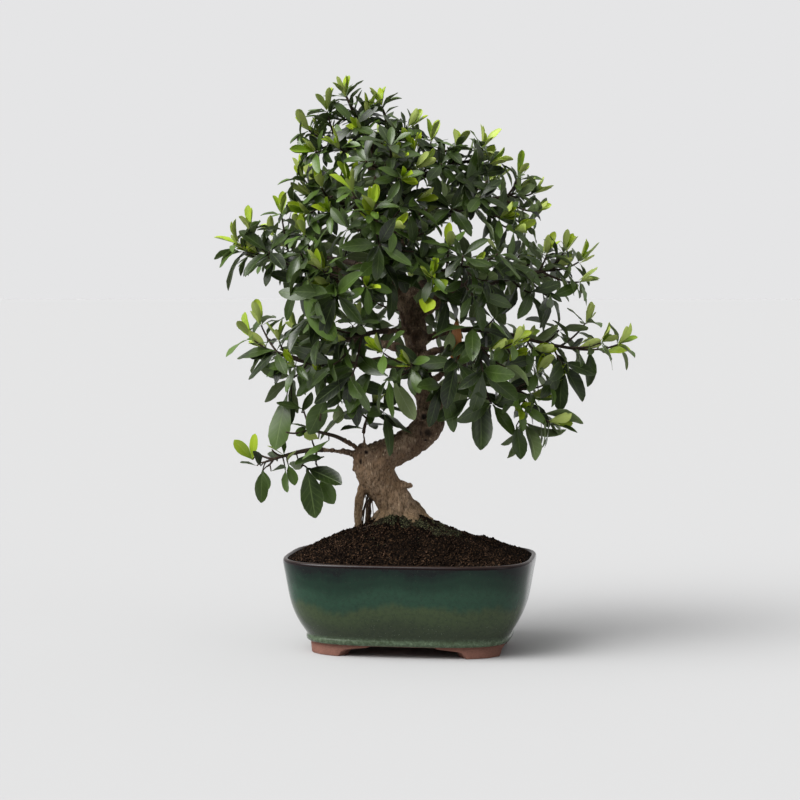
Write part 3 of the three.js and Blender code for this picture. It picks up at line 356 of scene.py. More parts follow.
TRUNK = [
    (0.003, 0.009, 0.096, 0.022), (-0.004, 0.009, 0.118, 0.021), (-0.011, 0.008, 0.137, 0.019),
    (-0.0227, 0.006, 0.1555, 0.018), (-0.0308, 0.003, 0.168, 0.0186), (-0.0355, -0.001, 0.179, 0.0193),
    (-0.0345, -0.004, 0.1885, 0.0184), (-0.0255, -0.006, 0.195, 0.0166),
    (-0.012, -0.007, 0.2018, 0.0155), (0.0041, -0.006, 0.2114, 0.0153), (0.017, -0.002, 0.2235, 0.0152),
    (0.02, 0.002, 0.239, 0.0144), (0.0175, 0.003, 0.254, 0.0135), (0.0105, 0.004, 0.2675, 0.0126),
    (0.005, 0.006, 0.284, 0.0106), (0.0047, 0.008, 0.304, 0.0117), (0.0024, 0.008, 0.328, 0.0128),
    (-0.005, 0.007, 0.348, 0.01), (-0.013, 0.005, 0.366, 0.008), (-0.019, 0.002, 0.386, 0.0072),
    (-0.024, -0.001, 0.41, 0.0064), (-0.028, -0.003, 0.438, 0.0054), (-0.031, -0.002, 0.464, 0.0046),
    (-0.035, 0, 0.49, 0.0038), (-0.04, 0.002, 0.508, 0.0032),
]

ROOTS = [
    [(-0.014, 0.002, 0.14, 0.01), (-0.029, -0.007, 0.128, 0.007), (-0.042, -0.014, 0.116, 0.0035)],
    [(-0.003, 0.002, 0.132, 0.013), (0.003, -0.014, 0.122, 0.009), (0.007, -0.03, 0.112, 0.004)],
    [(0, 0.006, 0.134, 0.012), (0.018, 0, 0.124, 0.008), (0.034, -0.006, 0.114, 0.0035)],
    [(0, 0.018, 0.14, 0.01), (0.01, 0.034, 0.128, 0.0075), (0.016, 0.048, 0.116, 0.004)],
    [(-0.014, 0.016, 0.142, 0.009), (-0.032, 0.028, 0.128, 0.007), (-0.044, 0.038, 0.116, 0.0035)],
    [
        (-0.043, 0.004, 0.17, 0.0055), (-0.049, 0.001, 0.158, 0.0044), (-0.0525, -0.002, 0.142, 0.0042),
        (-0.0525, -0.004, 0.122, 0.005),
    ],
    [(-0.038, 0.009, 0.162, 0.0032), (-0.041, 0.011, 0.146, 0.0026), (-0.044, 0.013, 0.122, 0.003)],
]

BURLS = [
    (-0.048, -0.005, 0.194, 0.01, 1.3), (0.019, -0.012, 0.221, 0.012, 1),
    (0.007, -0.004, 0.313, 0.0095, 1.2),
]

STUB = [(-0.018, -0.002, 0.163, 0.004), (-0.01, -0.004, 0.165, 0.0032), (-0.003, -0.005, 0.1645, 0.0028)]

LIMBS = [
    {
        "name": "low_left", "radius": 0.0042, "bare": 2.6,
        "points": [
            (-0.04, -0.002, 0.192), (-0.058, -0.006, 0.197), (-0.076, -0.01, 0.2),
            (-0.1, -0.014, 0.201), (-0.124, -0.018, 0.196), (-0.144, -0.022, 0.19),
        ],
        "shoots": [
            (-0.154, -0.024, 0.2, 1), (-0.108, -0.03, 0.186, 0), (-0.137, -0.036, 0.203, 0),
            (-0.144, -0.008, 0.184, 0), (-0.098, -0.034, 0.214, 1), (-0.094, -0.028, 0.188, 0),
        ],
    },
    {
        "name": "low_left_front", "radius": 0.0028, "bare": 1.6,
        "points": [
            (-0.044, -0.006, 0.197), (-0.06, -0.014, 0.207), (-0.074, -0.022, 0.215),
            (-0.092, -0.034, 0.221), (-0.108, -0.044, 0.228),
        ],
        "shoots": [
            (-0.106, -0.034, 0.243, 0), (-0.088, -0.052, 0.24, 0), (-0.122, -0.056, 0.222, 0),
        ],
    },
    {
        "name": "inner_left", "radius": 0.0024, "bare": 1.2,
        "points": [
            (-0.044, -0.006, 0.198), (-0.047, -0.014, 0.216), (-0.044, -0.018, 0.231),
            (-0.038, -0.022, 0.244),
        ],
        "shoots": [
            (-0.027, -0.028, 0.24, 0), (-0.054, -0.026, 0.246, 0),
        ],
    },
    {
        "name": "left_mid", "radius": 0.006, "bare": 2,
        "points": [
            (-0.002, 0.005, 0.284), (-0.03, -0.006, 0.288), (-0.062, -0.014, 0.286),
            (-0.096, -0.018, 0.288), (-0.126, -0.018, 0.296), (-0.144, -0.014, 0.302),
        ],
        "shoots": [
            (-0.158, -0.016, 0.313, 1), (-0.13, -0.026, 0.31, 0), (-0.149, -0.006, 0.325, 1),
            (-0.133, -0.032, 0.3, 0), (-0.119, -0.008, 0.272, 0), (-0.114, -0.038, 0.286, 0),
            (-0.085, -0.036, 0.276, 1), (-0.084, -0.04, 0.296, 0), (-0.06, -0.034, 0.268, 0),
        ],
    },
    {
        "name": "left_long", "radius": 0.0065, "bare": 2,
        "points": [
            (-0.013, 0.005, 0.366), (-0.04, 0.002, 0.375), (-0.078, -0.004, 0.38),
            (-0.118, -0.008, 0.386), (-0.152, -0.008, 0.396),
        ],
        "shoots": [
            (-0.171, -0.008, 0.405, 1), (-0.158, -0.014, 0.418, 1), (-0.128, -0.016, 0.435, 1),
            (-0.14, -0.024, 0.398, 0), (-0.108, -0.022, 0.368, 0), (-0.086, -0.032, 0.378, 1),
            (-0.104, -0.026, 0.414, 0), (-0.108, -0.036, 0.396, 0), (-0.168, 0.008, 0.398, 0),
        ],
    },
    {
        "name": "left_upper", "radius": 0.0046, "bare": 1.4,
        "points": [
            (-0.026, -0.002, 0.425), (-0.05, -0.004, 0.44), (-0.074, -0.008, 0.448),
            (-0.096, -0.01, 0.452),
        ],
        "shoots": [
            (-0.106, -0.01, 0.47, 1), (-0.088, -0.028, 0.461, 1), (-0.116, -0.006, 0.446, 0),
            (-0.1, -0.024, 0.436, 1), (-0.079, -0.034, 0.436, 1), (-0.06, -0.034, 0.463, 1),
        ],
    },
    {
        "name": "crown_left", "radius": 0.0038, "bare": 1.2,
        "points": [
            (-0.032, -0.002, 0.476), (-0.052, -0.004, 0.493), (-0.07, -0.006, 0.505),
            (-0.086, -0.006, 0.511),
        ],
        "shoots": [
            (-0.101, -0.008, 0.518, 1), (-0.083, -0.006, 0.537, 1), (-0.103, -0.012, 0.498, 0),
            (-0.07, -0.032, 0.5, 1), (-0.094, -0.026, 0.496, 0),
        ],
    },
    {
        "name": "apex", "radius": 0.0032, "bare": 0.9,
        "points": [
            (-0.039, 0.002, 0.504), (-0.047, 0, 0.52), (-0.057, -0.003, 0.537), (-0.064, -0.004, 0.552),
        ],
        "shoots": [
            (-0.043, -0.008, 0.534, 1), (-0.08, 0.002, 0.532, 0), (-0.054, -0.024, 0.522, 0),
        ],
    },
    {
        "name": "crown_right", "radius": 0.0032, "bare": 1,
        "points": [
            (-0.035, 0, 0.492), (-0.027, -0.002, 0.51), (-0.024, -0.006, 0.526),
            (-0.029, -0.008, 0.542),
        ],
        "shoots": [
            (-0.003, -0.012, 0.521, 1), (-0.046, -0.022, 0.514, 1), (-0.012, -0.026, 0.508, 0),
            (0.002, 0.004, 0.51, 0),
        ],
    },
    {
        "name": "right_top", "radius": 0.0048, "bare": 1.6,
        "points": [
            (-0.028, -0.003, 0.44), (-0.008, -0.006, 0.462), (0.019, -0.008, 0.476),
            (0.045, -0.008, 0.485), (0.064, -0.006, 0.489),
        ],
        "shoots": [
            (0.07, -0.008, 0.501, 1), (0.077, -0.014, 0.484, 1), (0.046, -0.01, 0.499, 1),
            (0.066, -0.024, 0.474, 0), (0.02, -0.012, 0.507, 1), (0.034, -0.022, 0.498, 0),
            (0.004, -0.024, 0.496, 1), (0.03, -0.036, 0.484, 0), (-0.017, -0.028, 0.484, 1),
            (0.054, -0.036, 0.466, 0),
        ],
    },
    {
        "name": "right_high", "radius": 0.0052, "bare": 1.6,
        "points": [
            (-0.02, -0.001, 0.396), (0.012, -0.006, 0.422), (0.048, -0.01, 0.44), (0.082, -0.012, 0.45),
            (0.104, -0.012, 0.456),
        ],
        "shoots": [
            (0.121, -0.01, 0.456, 1), (0.106, -0.016, 0.471, 1), (0.12, -0.02, 0.438, 1),
            (0.087, -0.036, 0.432, 1), (0.068, -0.038, 0.452, 0), (0.101, -0.04, 0.419, 1),
            (0.04, -0.038, 0.44, 0), (0.114, -0.002, 0.424, 0),
        ],
    },
    {
        "name": "right_long", "radius": 0.0066, "bare": 2.2,
        "points": [
            (0.004, 0.007, 0.334), (0.024, 0, 0.345), (0.052, -0.004, 0.36), (0.088, -0.008, 0.37),
            (0.122, -0.008, 0.377), (0.144, -0.006, 0.382),
        ],
        "shoots": [
            (0.167, -0.008, 0.388, 1), (0.152, -0.004, 0.397, 1), (0.167, -0.01, 0.368, 1),
            (0.135, -0.014, 0.396, 1), (0.138, -0.022, 0.353, 0), (0.118, -0.028, 0.358, 0),
            (0.095, -0.032, 0.386, 0), (0.072, -0.036, 0.37, 0),
        ],
    },
    {
        "name": "right_far", "radius": 0.004, "bare": 1.8,
        "points": [
            (0.005, 0.006, 0.304), (0.03, -0.004, 0.317), (0.062, -0.008, 0.321), (0.098, -0.01, 0.316),
            (0.134, -0.01, 0.307), (0.164, -0.01, 0.302),
        ],
        "shoots": [
            (0.206, -0.012, 0.306, 1), (0.189, -0.014, 0.308, 1), (0.174, -0.006, 0.327, 1),
            (0.122, -0.018, 0.302, 1), (0.15, -0.022, 0.288, 0), (0.099, -0.026, 0.297, 1),
            (0.148, 0, 0.32, 0), (0.082, -0.024, 0.332, 0),
        ],
    },
    {
        "name": "low_right", "radius": 0.005, "bare": 1.8,
        "points": [
            (0.017, 0, 0.254), (0.038, -0.005, 0.262), (0.064, -0.01, 0.268), (0.092, -0.014, 0.266),
            (0.116, -0.016, 0.256),
        ],
        "shoots": [
            (0.136, -0.018, 0.268, 1), (0.137, -0.024, 0.23, 1), (0.13, -0.018, 0.236, 0),
            (0.108, -0.03, 0.246, 1), (0.112, -0.008, 0.228, 0), (0.124, -0.022, 0.278, 1),
            (0.08, -0.028, 0.248, 0), (0.06, -0.026, 0.284, 0),
        ],
    },
    {
        "name": "front_low", "radius": 0.0034, "bare": 1,
        "points": [
            (0.012, -0.002, 0.264), (0.018, -0.024, 0.278), (0.01, -0.044, 0.286), (0, -0.06, 0.288),
        ],
        "shoots": [
            (-0.027, -0.066, 0.3, 1), (0.03, -0.05, 0.266, 0), (-0.022, -0.064, 0.276, 0),
        ],
    },
    {
        "name": "front_left", "radius": 0.0042, "bare": 1.2,
        "points": [
            (0.001, 0.004, 0.318), (-0.02, -0.022, 0.32), (-0.042, -0.04, 0.318),
            (-0.064, -0.054, 0.312),
        ],
        "shoots": [
            (-0.05, -0.052, 0.33, 1), (-0.088, -0.06, 0.316, 0), (-0.076, -0.062, 0.288, 0),
            (-0.058, -0.066, 0.276, 0), (-0.098, -0.05, 0.334, 0),
        ],
    },
    {
        "name": "front_left_high", "radius": 0.0042, "bare": 1.2,
        "points": [
            (-0.014, 0.002, 0.368), (-0.034, -0.024, 0.376), (-0.056, -0.044, 0.376),
            (-0.078, -0.058, 0.368),
        ],
        "shoots": [
            (-0.092, -0.068, 0.354, 0), (-0.086, -0.066, 0.38, 1), (-0.043, -0.07, 0.364, 0),
            (-0.072, -0.074, 0.356, 0), (-0.1, -0.054, 0.388, 0),
        ],
    },
    {
        "name": "front_upper", "radius": 0.0042, "bare": 1,
        "points": [
            (-0.022, -0.002, 0.398), (-0.028, -0.028, 0.412), (-0.034, -0.052, 0.423),
            (-0.038, -0.07, 0.43),
        ],
        "shoots": [
            (-0.037, -0.076, 0.438, 1), (-0.062, -0.064, 0.42, 0), (-0.057, -0.07, 0.456, 1),
            (-0.018, -0.078, 0.42, 0), (-0.008, -0.06, 0.442, 0), (-0.03, -0.086, 0.404, 0),
        ],
    },
    {
        "name": "front_right_high", "radius": 0.0042, "bare": 1,
        "points": [
            (-0.007, 0.004, 0.352), (0.014, -0.026, 0.368), (0.034, -0.05, 0.38),
            (0.058, -0.066, 0.384),
        ],
        "shoots": [
            (0.02, -0.072, 0.374, 1), (0.084, -0.072, 0.396, 0), (0.05, -0.082, 0.394, 0),
            (0.074, -0.074, 0.37, 0), (0.036, -0.072, 0.402, 0), (0.06, -0.08, 0.356, 0),
        ],
    },
    {
        "name": "front_top", "radius": 0.0034, "bare": 0.8,
        "points": [
            (-0.03, -0.002, 0.46), (-0.028, -0.024, 0.473), (-0.022, -0.046, 0.483),
            (-0.016, -0.06, 0.488),
        ],
        "shoots": [
            (-0.044, -0.056, 0.486, 0), (0.004, -0.058, 0.478, 0), (-0.02, -0.068, 0.5, 0),
            (-0.01, -0.074, 0.468, 0),
        ],
    },
    {
        "name": "front_right_low", "radius": 0.004, "bare": 1,
        "points": [
            (0.005, 0.005, 0.292), (0.032, -0.022, 0.302), (0.054, -0.042, 0.306),
            (0.078, -0.058, 0.303),
        ],
        "shoots": [
            (0.098, -0.066, 0.309, 1), (0.07, -0.066, 0.282, 0), (0.06, -0.06, 0.324, 0),
            (0.044, -0.06, 0.29, 0), (0.092, -0.052, 0.286, 0),
        ],
    },
    {
        "name": "back_left_low", "radius": 0.005, "bare": 1.8,
        "points": [
            (0.003, 0.008, 0.298), (-0.024, 0.034, 0.304), (-0.054, 0.058, 0.308),
            (-0.082, 0.08, 0.308), (-0.1, 0.09, 0.31),
        ],
        "shoots": [
            (-0.116, 0.096, 0.316, 1), (-0.1, 0.106, 0.292, 0), (-0.082, 0.104, 0.324, 1),
            (-0.07, 0.088, 0.29, 0), (-0.088, 0.07, 0.332, 0), (-0.06, 0.092, 0.322, 0),
            (-0.12, 0.078, 0.298, 0),
        ],
    },
    {
        "name": "back_right_low", "radius": 0.005, "bare": 1.6,
        "points": [
            (0.015, 0.002, 0.256), (0.026, 0.03, 0.27), (0.046, 0.056, 0.28), (0.074, 0.08, 0.288),
            (0.098, 0.092, 0.294),
        ],
        "shoots": [
            (0.12, 0.1, 0.304, 1), (0.104, 0.112, 0.286, 0), (0.08, 0.108, 0.302, 1),
            (0.06, 0.092, 0.27, 0), (0.096, 0.072, 0.31, 0), (0.126, 0.082, 0.286, 0),
            (0.048, 0.09, 0.3, 0),
        ],
    },
    {
        "name": "back_left", "radius": 0.005, "bare": 1.8,
        "points": [
            (-0.013, 0.005, 0.366), (-0.034, 0.034, 0.378), (-0.064, 0.056, 0.388),
            (-0.096, 0.074, 0.394), (-0.118, 0.082, 0.402),
        ],
        "shoots": [
            (-0.14, 0.086, 0.414, 1), (-0.122, 0.098, 0.394, 0), (-0.096, 0.098, 0.41, 1),
            (-0.08, 0.086, 0.374, 0), (-0.112, 0.06, 0.416, 0), (-0.066, 0.084, 0.402, 0),
            (-0.146, 0.064, 0.396, 0),
        ],
    },
    {
        "name": "back_right", "radius": 0.005, "bare": 1.8,
        "points": [
            (0, 0.008, 0.338), (0.026, 0.038, 0.354), (0.056, 0.062, 0.366), (0.09, 0.08, 0.374),
            (0.114, 0.088, 0.384),
        ],
        "shoots": [
            (0.138, 0.09, 0.396, 1), (0.118, 0.104, 0.376, 0), (0.092, 0.104, 0.392, 1),
            (0.074, 0.09, 0.358, 0), (0.112, 0.064, 0.396, 0), (0.06, 0.092, 0.388, 0),
            (0.142, 0.072, 0.374, 0),
        ],
    },
    {
        "name": "back_middle", "radius": 0.0044, "bare": 1.2,
        "points": [
            (0.003, 0.008, 0.318), (0.002, 0.044, 0.332), (0.004, 0.076, 0.342), (0.006, 0.102, 0.348),
        ],
        "shoots": [
            (0.006, 0.124, 0.358, 1), (-0.022, 0.112, 0.346, 0), (0.03, 0.112, 0.344, 0),
            (0.004, 0.1, 0.372, 0), (-0.016, 0.092, 0.32, 0), (0.024, 0.086, 0.324, 0),
            (-0.042, 0.088, 0.35, 0),
        ],
    },
    {
        "name": "back_upper_left", "radius": 0.004, "bare": 1.2,
        "points": [
            (-0.026, -0.002, 0.428), (-0.044, 0.028, 0.444), (-0.066, 0.05, 0.456),
            (-0.086, 0.064, 0.464),
        ],
        "shoots": [
            (-0.097, 0.07, 0.471, 1), (-0.084, 0.084, 0.462, 0), (-0.07, 0.076, 0.484, 1),
            (-0.054, 0.072, 0.446, 0), (-0.1, 0.05, 0.448, 0),
        ],
    },
    {
        "name": "back_upper_right", "radius": 0.004, "bare": 1.2,
        "points": [
            (-0.024, -0.001, 0.412), (0, 0.032, 0.432), (0.03, 0.056, 0.445), (0.06, 0.072, 0.454),
        ],
        "shoots": [
            (0.082, 0.078, 0.468, 1), (0.058, 0.092, 0.45, 0), (0.036, 0.084, 0.47, 1),
            (0.02, 0.082, 0.44, 0), (0.094, 0.064, 0.446, 0), (0.08, 0.054, 0.472, 0),
        ],
    },
    {
        "name": "back_top", "radius": 0.0034, "bare": 0.9,
        "points": [
            (-0.03, -0.002, 0.456), (-0.031, 0.028, 0.474), (-0.028, 0.052, 0.486),
            (-0.026, 0.07, 0.494),
        ],
        "shoots": [
            (-0.028, 0.082, 0.508, 1), (-0.05, 0.064, 0.496, 0), (-0.006, 0.066, 0.496, 0),
            (-0.028, 0.074, 0.47, 0), (-0.048, 0.046, 0.514, 1), (-0.008, 0.042, 0.518, 0),
        ],
    },
    {
        "name": "back_upper", "radius": 0.004, "bare": 1.2,
        "points": [
            (-0.02, 0.001, 0.39), (-0.019, 0.036, 0.403), (-0.014, 0.068, 0.412),
            (-0.012, 0.092, 0.416),
        ],
        "shoots": [
            (-0.012, 0.112, 0.428, 1), (-0.036, 0.102, 0.412, 0), (0.014, 0.102, 0.412, 0),
            (-0.012, 0.09, 0.44, 0), (-0.032, 0.084, 0.392, 0), (0.01, 0.08, 0.39, 0),
        ],
    },
]


def draw(seed):
    """Seeded draw between 0 and 1, the same for the same seed on every run."""
    value = math.sin(seed * 127.1 + 11.7) * 43758.5453
    return value - math.floor(value)


def between(low, high, seed):
    return low + (high - low) * draw(seed)


def blend(start, end, share):
    return start + (end - start) * share


# Helpers for modelling by operator


def select(*pieces):
    """Selects these objects alone and makes the first one active."""
    bpy.ops.object.select_all(action="DESELECT")
    for piece in pieces:
        piece.select_set(True)
    bpy.context.view_layer.objects.active = pieces[0]


@contextmanager
def edit_mode(piece):
    select(piece)
    bpy.ops.object.mode_set(mode="EDIT")
    bpy.ops.mesh.select_all(action="SELECT")
    yield bmesh.from_edit_mesh(piece.data)
    bpy.ops.object.mode_set(mode="OBJECT")


def apply_modifier(piece, kind, **settings):
    select(piece)
    made = piece.modifiers.new(kind.lower(), kind)
    for setting, value in settings.items():
        setattr(made, setting, value)
    bpy.ops.object.modifier_apply(modifier=made.name)


def join(pieces, name):
    select(*pieces)
    if len(pieces) > 1:
        bpy.ops.object.join()
    bpy.context.object.name = name
    return bpy.context.object


def remove(*pieces):
    for piece in pieces:
        bpy.data.objects.remove(piece)


def copy_of(model):
    """A copy with its own mesh."""
    copy = model.copy()
    copy.data = model.data.copy()
    bpy.context.collection.objects.link(copy)
    return copy


def get_points(piece):
    points = np.empty(len(piece.data.vertices) * 3)
    piece.data.vertices.foreach_get("co", points)
    return points.reshape(-1, 3)


def set_points(piece, points):
    piece.data.vertices.foreach_set("co", np.asarray(points, dtype=np.float32).ravel())
    piece.data.update()


def set_attribute(piece, name, values):
    """Stores a number for each point of a mesh, for its material to read."""
    attribute = piece.data.attributes.get(name) or piece.data.attributes.new(name, "FLOAT", "POINT")
    attribute.data.foreach_set("value", np.asarray(values, dtype=np.float32))


def apply_place(piece):
    """Puts an object's place, turn and size into its mesh."""
    select(piece)
    bpy.ops.object.transform_apply(location=True, rotation=True, scale=True)


def smooth(piece, degrees):
    select(piece)
    bpy.ops.object.shade_smooth_by_angle(angle=math.radians(degrees))


def point_outwards(piece):
    with edit_mode(piece):
        bpy.ops.mesh.remove_doubles(threshold=1e-6)
        bpy.ops.mesh.normals_make_consistent(inside=False)


def finish_piece(piece, materials, nodes=()):
    """Gives a piece these materials and its place in the frame, and hides the nodes that it stands for."""
    for material in materials:
        piece.data.materials.append(material)
    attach(piece, "root")
    if nodes:
        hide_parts(*nodes)


# Helpers for materials


def colour(hex_value):
    """sRGB hex value as a linear colour with full alpha."""
    channels = [(hex_value >> shift & 255) / 255 for shift in (16, 8, 0)]
    linear = [c / 12.92 if c <= 0.04045 else ((c + 0.055) / 1.055) ** 2.4 for c in channels]
    return (*linear, 1)


def fill_sockets(tree, node, inputs):
    """Fills sockets, by name or number, with plain values or with links from other outputs."""
    for socket, value in inputs.items():
        if isinstance(value, bpy.types.NodeSocket):
            tree.links.new(value, node.inputs[socket])
        else:
            node.inputs[socket].default_value = value


def add(tree, kind, output, inputs=None, **settings):
    """Adds a shader node with its settings and links, and returns one of its outputs."""
    node = tree.nodes.new("ShaderNode" + kind)
    for setting, value in settings.items():
        setattr(node, setting, value)
    fill_sockets(tree, node, inputs or {})
    return node.outputs[output]


def new_material(name):
    material = bpy.data.materials.new(name)
    material.use_nodes = True
    return material, material.node_tree, material.node_tree.nodes["Principled BSDF"]


def paint_over(tree, below, hex_value, share):
    """A colour laid over another by a share from 0 to 1."""
    return add(tree, "Mix", 2, {0: share, 6: below, 7: colour(hex_value)}, data_type="RGBA")


def glazed_stoneware():
    """Stoneware under a thick running glaze: glossy, brown at the rim, where the glaze has run thin,
    then navy and teal, olive where it pools, and pale with specks in the roll above the feet."""
    material, tree, shader = new_material("running_glaze_on_stoneware")
    place = add(tree, "TexCoord", "Object")
    height = add(tree, "SeparateXYZ", "Z", {0: place})
    drawn_down = add(tree, "Mapping", 0, {"Vector": place, "Scale": (1, 1, 0.22)})
    runs = add(tree, "TexNoise", "Fac", {"Vector": drawn_down, "Scale": 1 / 0.0042, "Detail": 5})
    waves = add(tree, "TexNoise", "Fac", {"Vector": place, "Scale": 1 / 0.055, "Detail": 3})
    mottle = add(tree, "TexNoise", "Fac", {
        "Vector": place, "Scale": 1 / 0.0034, "Detail": 7, "Roughness": 0.72,
    })
    waved = add(tree, "Math", 0, {0: waves, 1: 0.034, 2: height}, operation="MULTIPLY_ADD")
    level = add(tree, "Math", 0, {0: runs, 1: 0.008, 2: waved}, operation="MULTIPLY_ADD")
    paint = colour(0x333D2A)
    for low, high, hex_value in (
        (0.045, 0.066, 0x3D4A30), (0.069, 0.078, 0x254232), (0.084, 0.099, 0x142E22),
        (0.101, 0.109, 0x0B2019), (0.109, 0.114, 0x080F10),
    ):
        share = add(tree, "MapRange", 0, {0: level, 1: low, 2: high}, interpolation_type="SMOOTHSTEP")
        paint = paint_over(tree, paint, hex_value, share)
    clouds = add(tree, "MapRange", 0, {0: mottle, 1: 0.44, 2: 0.7, 3: 0, 4: 0.5})
    paint = paint_over(tree, paint, 0x16241D, clouds)
    band_height = add(tree, "Math", 0, {0: runs, 1: 0.006, 2: height}, operation="MULTIPLY_ADD")
    band = add(tree, "MapRange", 0, {0: band_height, 1: 0.0195, 2: 0.0245, 3: 1, 4: 0})
    blotched = add(tree, "MapRange", 0, {0: mottle, 1: 0.42, 2: 0.6, 3: 0.15, 4: 0.95})
    band = add(tree, "Math", 0, {0: band, 1: blotched}, operation="MULTIPLY")
    paint = paint_over(tree, paint, 0x5E6F58, band)
    cells = add(tree, "TexVoronoi", "Distance", {"Vector": place, "Scale": 1 / 0.0019})
    is_dot = add(tree, "MapRange", 0, {0: cells, 1: 0.12, 2: 0.22, 3: 1, 4: 0})
    crowding = add(tree, "MapRange", 0, {0: level, 1: 0.034, 2: 0.07, 3: 0.95, 4: 0.12})
    patchy = add(tree, "MapRange", 0, {0: mottle, 1: 0.5, 2: 0.62})
    dots = add(tree, "Math", 0, {0: is_dot, 1: crowding}, operation="MULTIPLY")
    dots = add(tree, "Math", 0, {0: dots, 1: patchy}, operation="MULTIPLY")
    paint = paint_over(tree, paint, 0x97A286, dots)
    thin_edge = add(tree, "MapRange", 0, {0: height, 1: 0.0908, 2: 0.092})
    paint = paint_over(tree, paint, 0x1B1314, thin_edge)
    lip = add(tree, "MapRange", 0, {0: height, 1: 0.0932, 2: 0.0945})
    paint = paint_over(tree, paint, 0x2F221D, lip)
    ripple = add(tree, "TexNoise", "Fac", {"Vector": place, "Scale": 1 / 0.014, "Detail": 2})
    bump = add(tree, "Bump", 0, {"Strength": 0.14, "Distance": 0.002, "Height": ripple})
    peel = add(tree, "Bump", 0, {
        "Strength": 0.1, "Distance": 0.0003, "Height": mottle, "Normal": bump,
    })
    rough = add(tree, "MapRange", 0, {0: mottle, 1: 0.3, 2: 0.75, 3: 0.08, 4: 0.22})
    fill_sockets(tree, shader, {
        "Base Color": paint, "Roughness": rough, "Normal": peel, "IOR": 1.5, "Specular IOR Level": 0.24,
    })
    return material


def bare_clay():
    """Unglazed fired clay: a dry pinkish brown with fine grog."""
    material, tree, shader = new_material("bare_fired_clay")
    place = add(tree, "TexCoord", "Object")
    grog = add(tree, "TexNoise", "Fac", {"Vector": place, "Scale": 1 / 0.0012, "Detail": 5})
    clouds = add(tree, "TexNoise", "Fac", {"Vector": place, "Scale": 1 / 0.014, "Detail": 3})
    paint = paint_over(tree, colour(0x8F6658), 0x6E483D, clouds)
    share = add(tree, "MapRange", 0, {0: grog, 1: 0.45, 2: 0.7, 3: 0, 4: 0.4})
    paint = paint_over(tree, paint, 0x4E352C, share)
    bump = add(tree, "Bump", 0, {"Strength": 0.4, "Distance": 0.0006, "Height": grog})
    fill_sockets(tree, shader, {
        "Base Color": paint, "Roughness": 0.82, "Normal": bump, "Specular IOR Level": 0.3,
    })
    return material


def damp_peat(name, wet, dry):
    """Damp crumbed peat: nearly black, with paler dry crumbs between."""
    material, tree, shader = new_material(name)
    place = add(tree, "TexCoord", "Object")
    crumbs = add(tree, "TexVoronoi", "Distance", {"Vector": place, "Scale": 1 / 0.0022})
    dust = add(tree, "TexNoise", "Fac", {
        "Vector": place, "Scale": 1 / 0.0018, "Detail": 4, "Roughness": 0.7,
    })
    damp = add(tree, "TexNoise", "Fac", {"Vector": place, "Scale": 1 / 0.028, "Detail": 3})
    share = add(tree, "MapRange", 0, {0: dust, 1: 0.52, 2: 0.64})
    paint = paint_over(tree, colour(wet), dry, share)
    shade = add(tree, "MapRange", 0, {0: damp, 1: 0.4, 2: 0.7, 3: 0, 4: 0.6})
    paint = paint_over(tree, paint, 0x070403, shade)
    relief = add(tree, "Math", 0, {0: crumbs, 1: dust}, operation="ADD")
    bump = add(tree, "Bump", 0, {"Strength": 0.9, "Distance": 0.0014, "Height": relief})
    fill_sockets(tree, shader, {
        "Base Color": paint, "Roughness": 0.95, "Normal": bump, "Specular IOR Level": 0.05,
    })
    return material


def cushion_moss():
    """Fine dark moss: matt, with paler growing points."""
    material, tree, shader = new_material("cushion_moss")
    place = add(tree, "TexCoord", "Object")
    points = add(tree, "TexNoise", "Fac", {"Vector": place, "Scale": 1 / 0.0011, "Detail": 4})
    patches = add(tree, "TexNoise", "Fac", {"Vector": place, "Scale": 1 / 0.01, "Detail": 2})
    share = add(tree, "MapRange", 0, {0: points, 1: 0.5, 2: 0.64})
    paint = paint_over(tree, colour(0x0E0F08), 0x68694A, share)
    brown = add(tree, "MapRange", 0, {0: patches, 1: 0.45, 2: 0.62, 3: 0, 4: 0.7})
    paint = paint_over(tree, paint, 0x1D160F, brown)
    bump = add(tree, "Bump", 0, {"Strength": 0.8, "Distance": 0.0008, "Height": points})
    fill_sockets(tree, shader, {
        "Base Color": paint, "Roughness": 0.95, "Normal": bump, "Specular IOR Level": 0.15,
    })
    return material


def moulded_plastic():
    """Moulded plastic netting: even, dark, with a soft sheen and a fine grain from the mould."""
    material, tree, shader = new_material("moulded_plastic_netting")
    place = add(tree, "TexCoord", "Object")
    grain = add(tree, "TexNoise", "Fac", {"Vector": place, "Scale": 1 / 0.0008, "Detail": 3})
    paint = paint_over(tree, colour(0x202326), 0x2D3134, grain)
    bump = add(tree, "Bump", 0, {"Strength": 0.2, "Distance": 0.0002, "Height": grain})
    fill_sockets(tree, shader, {"Base Color": paint, "Roughness": 0.5, "Normal": bump})
    return material


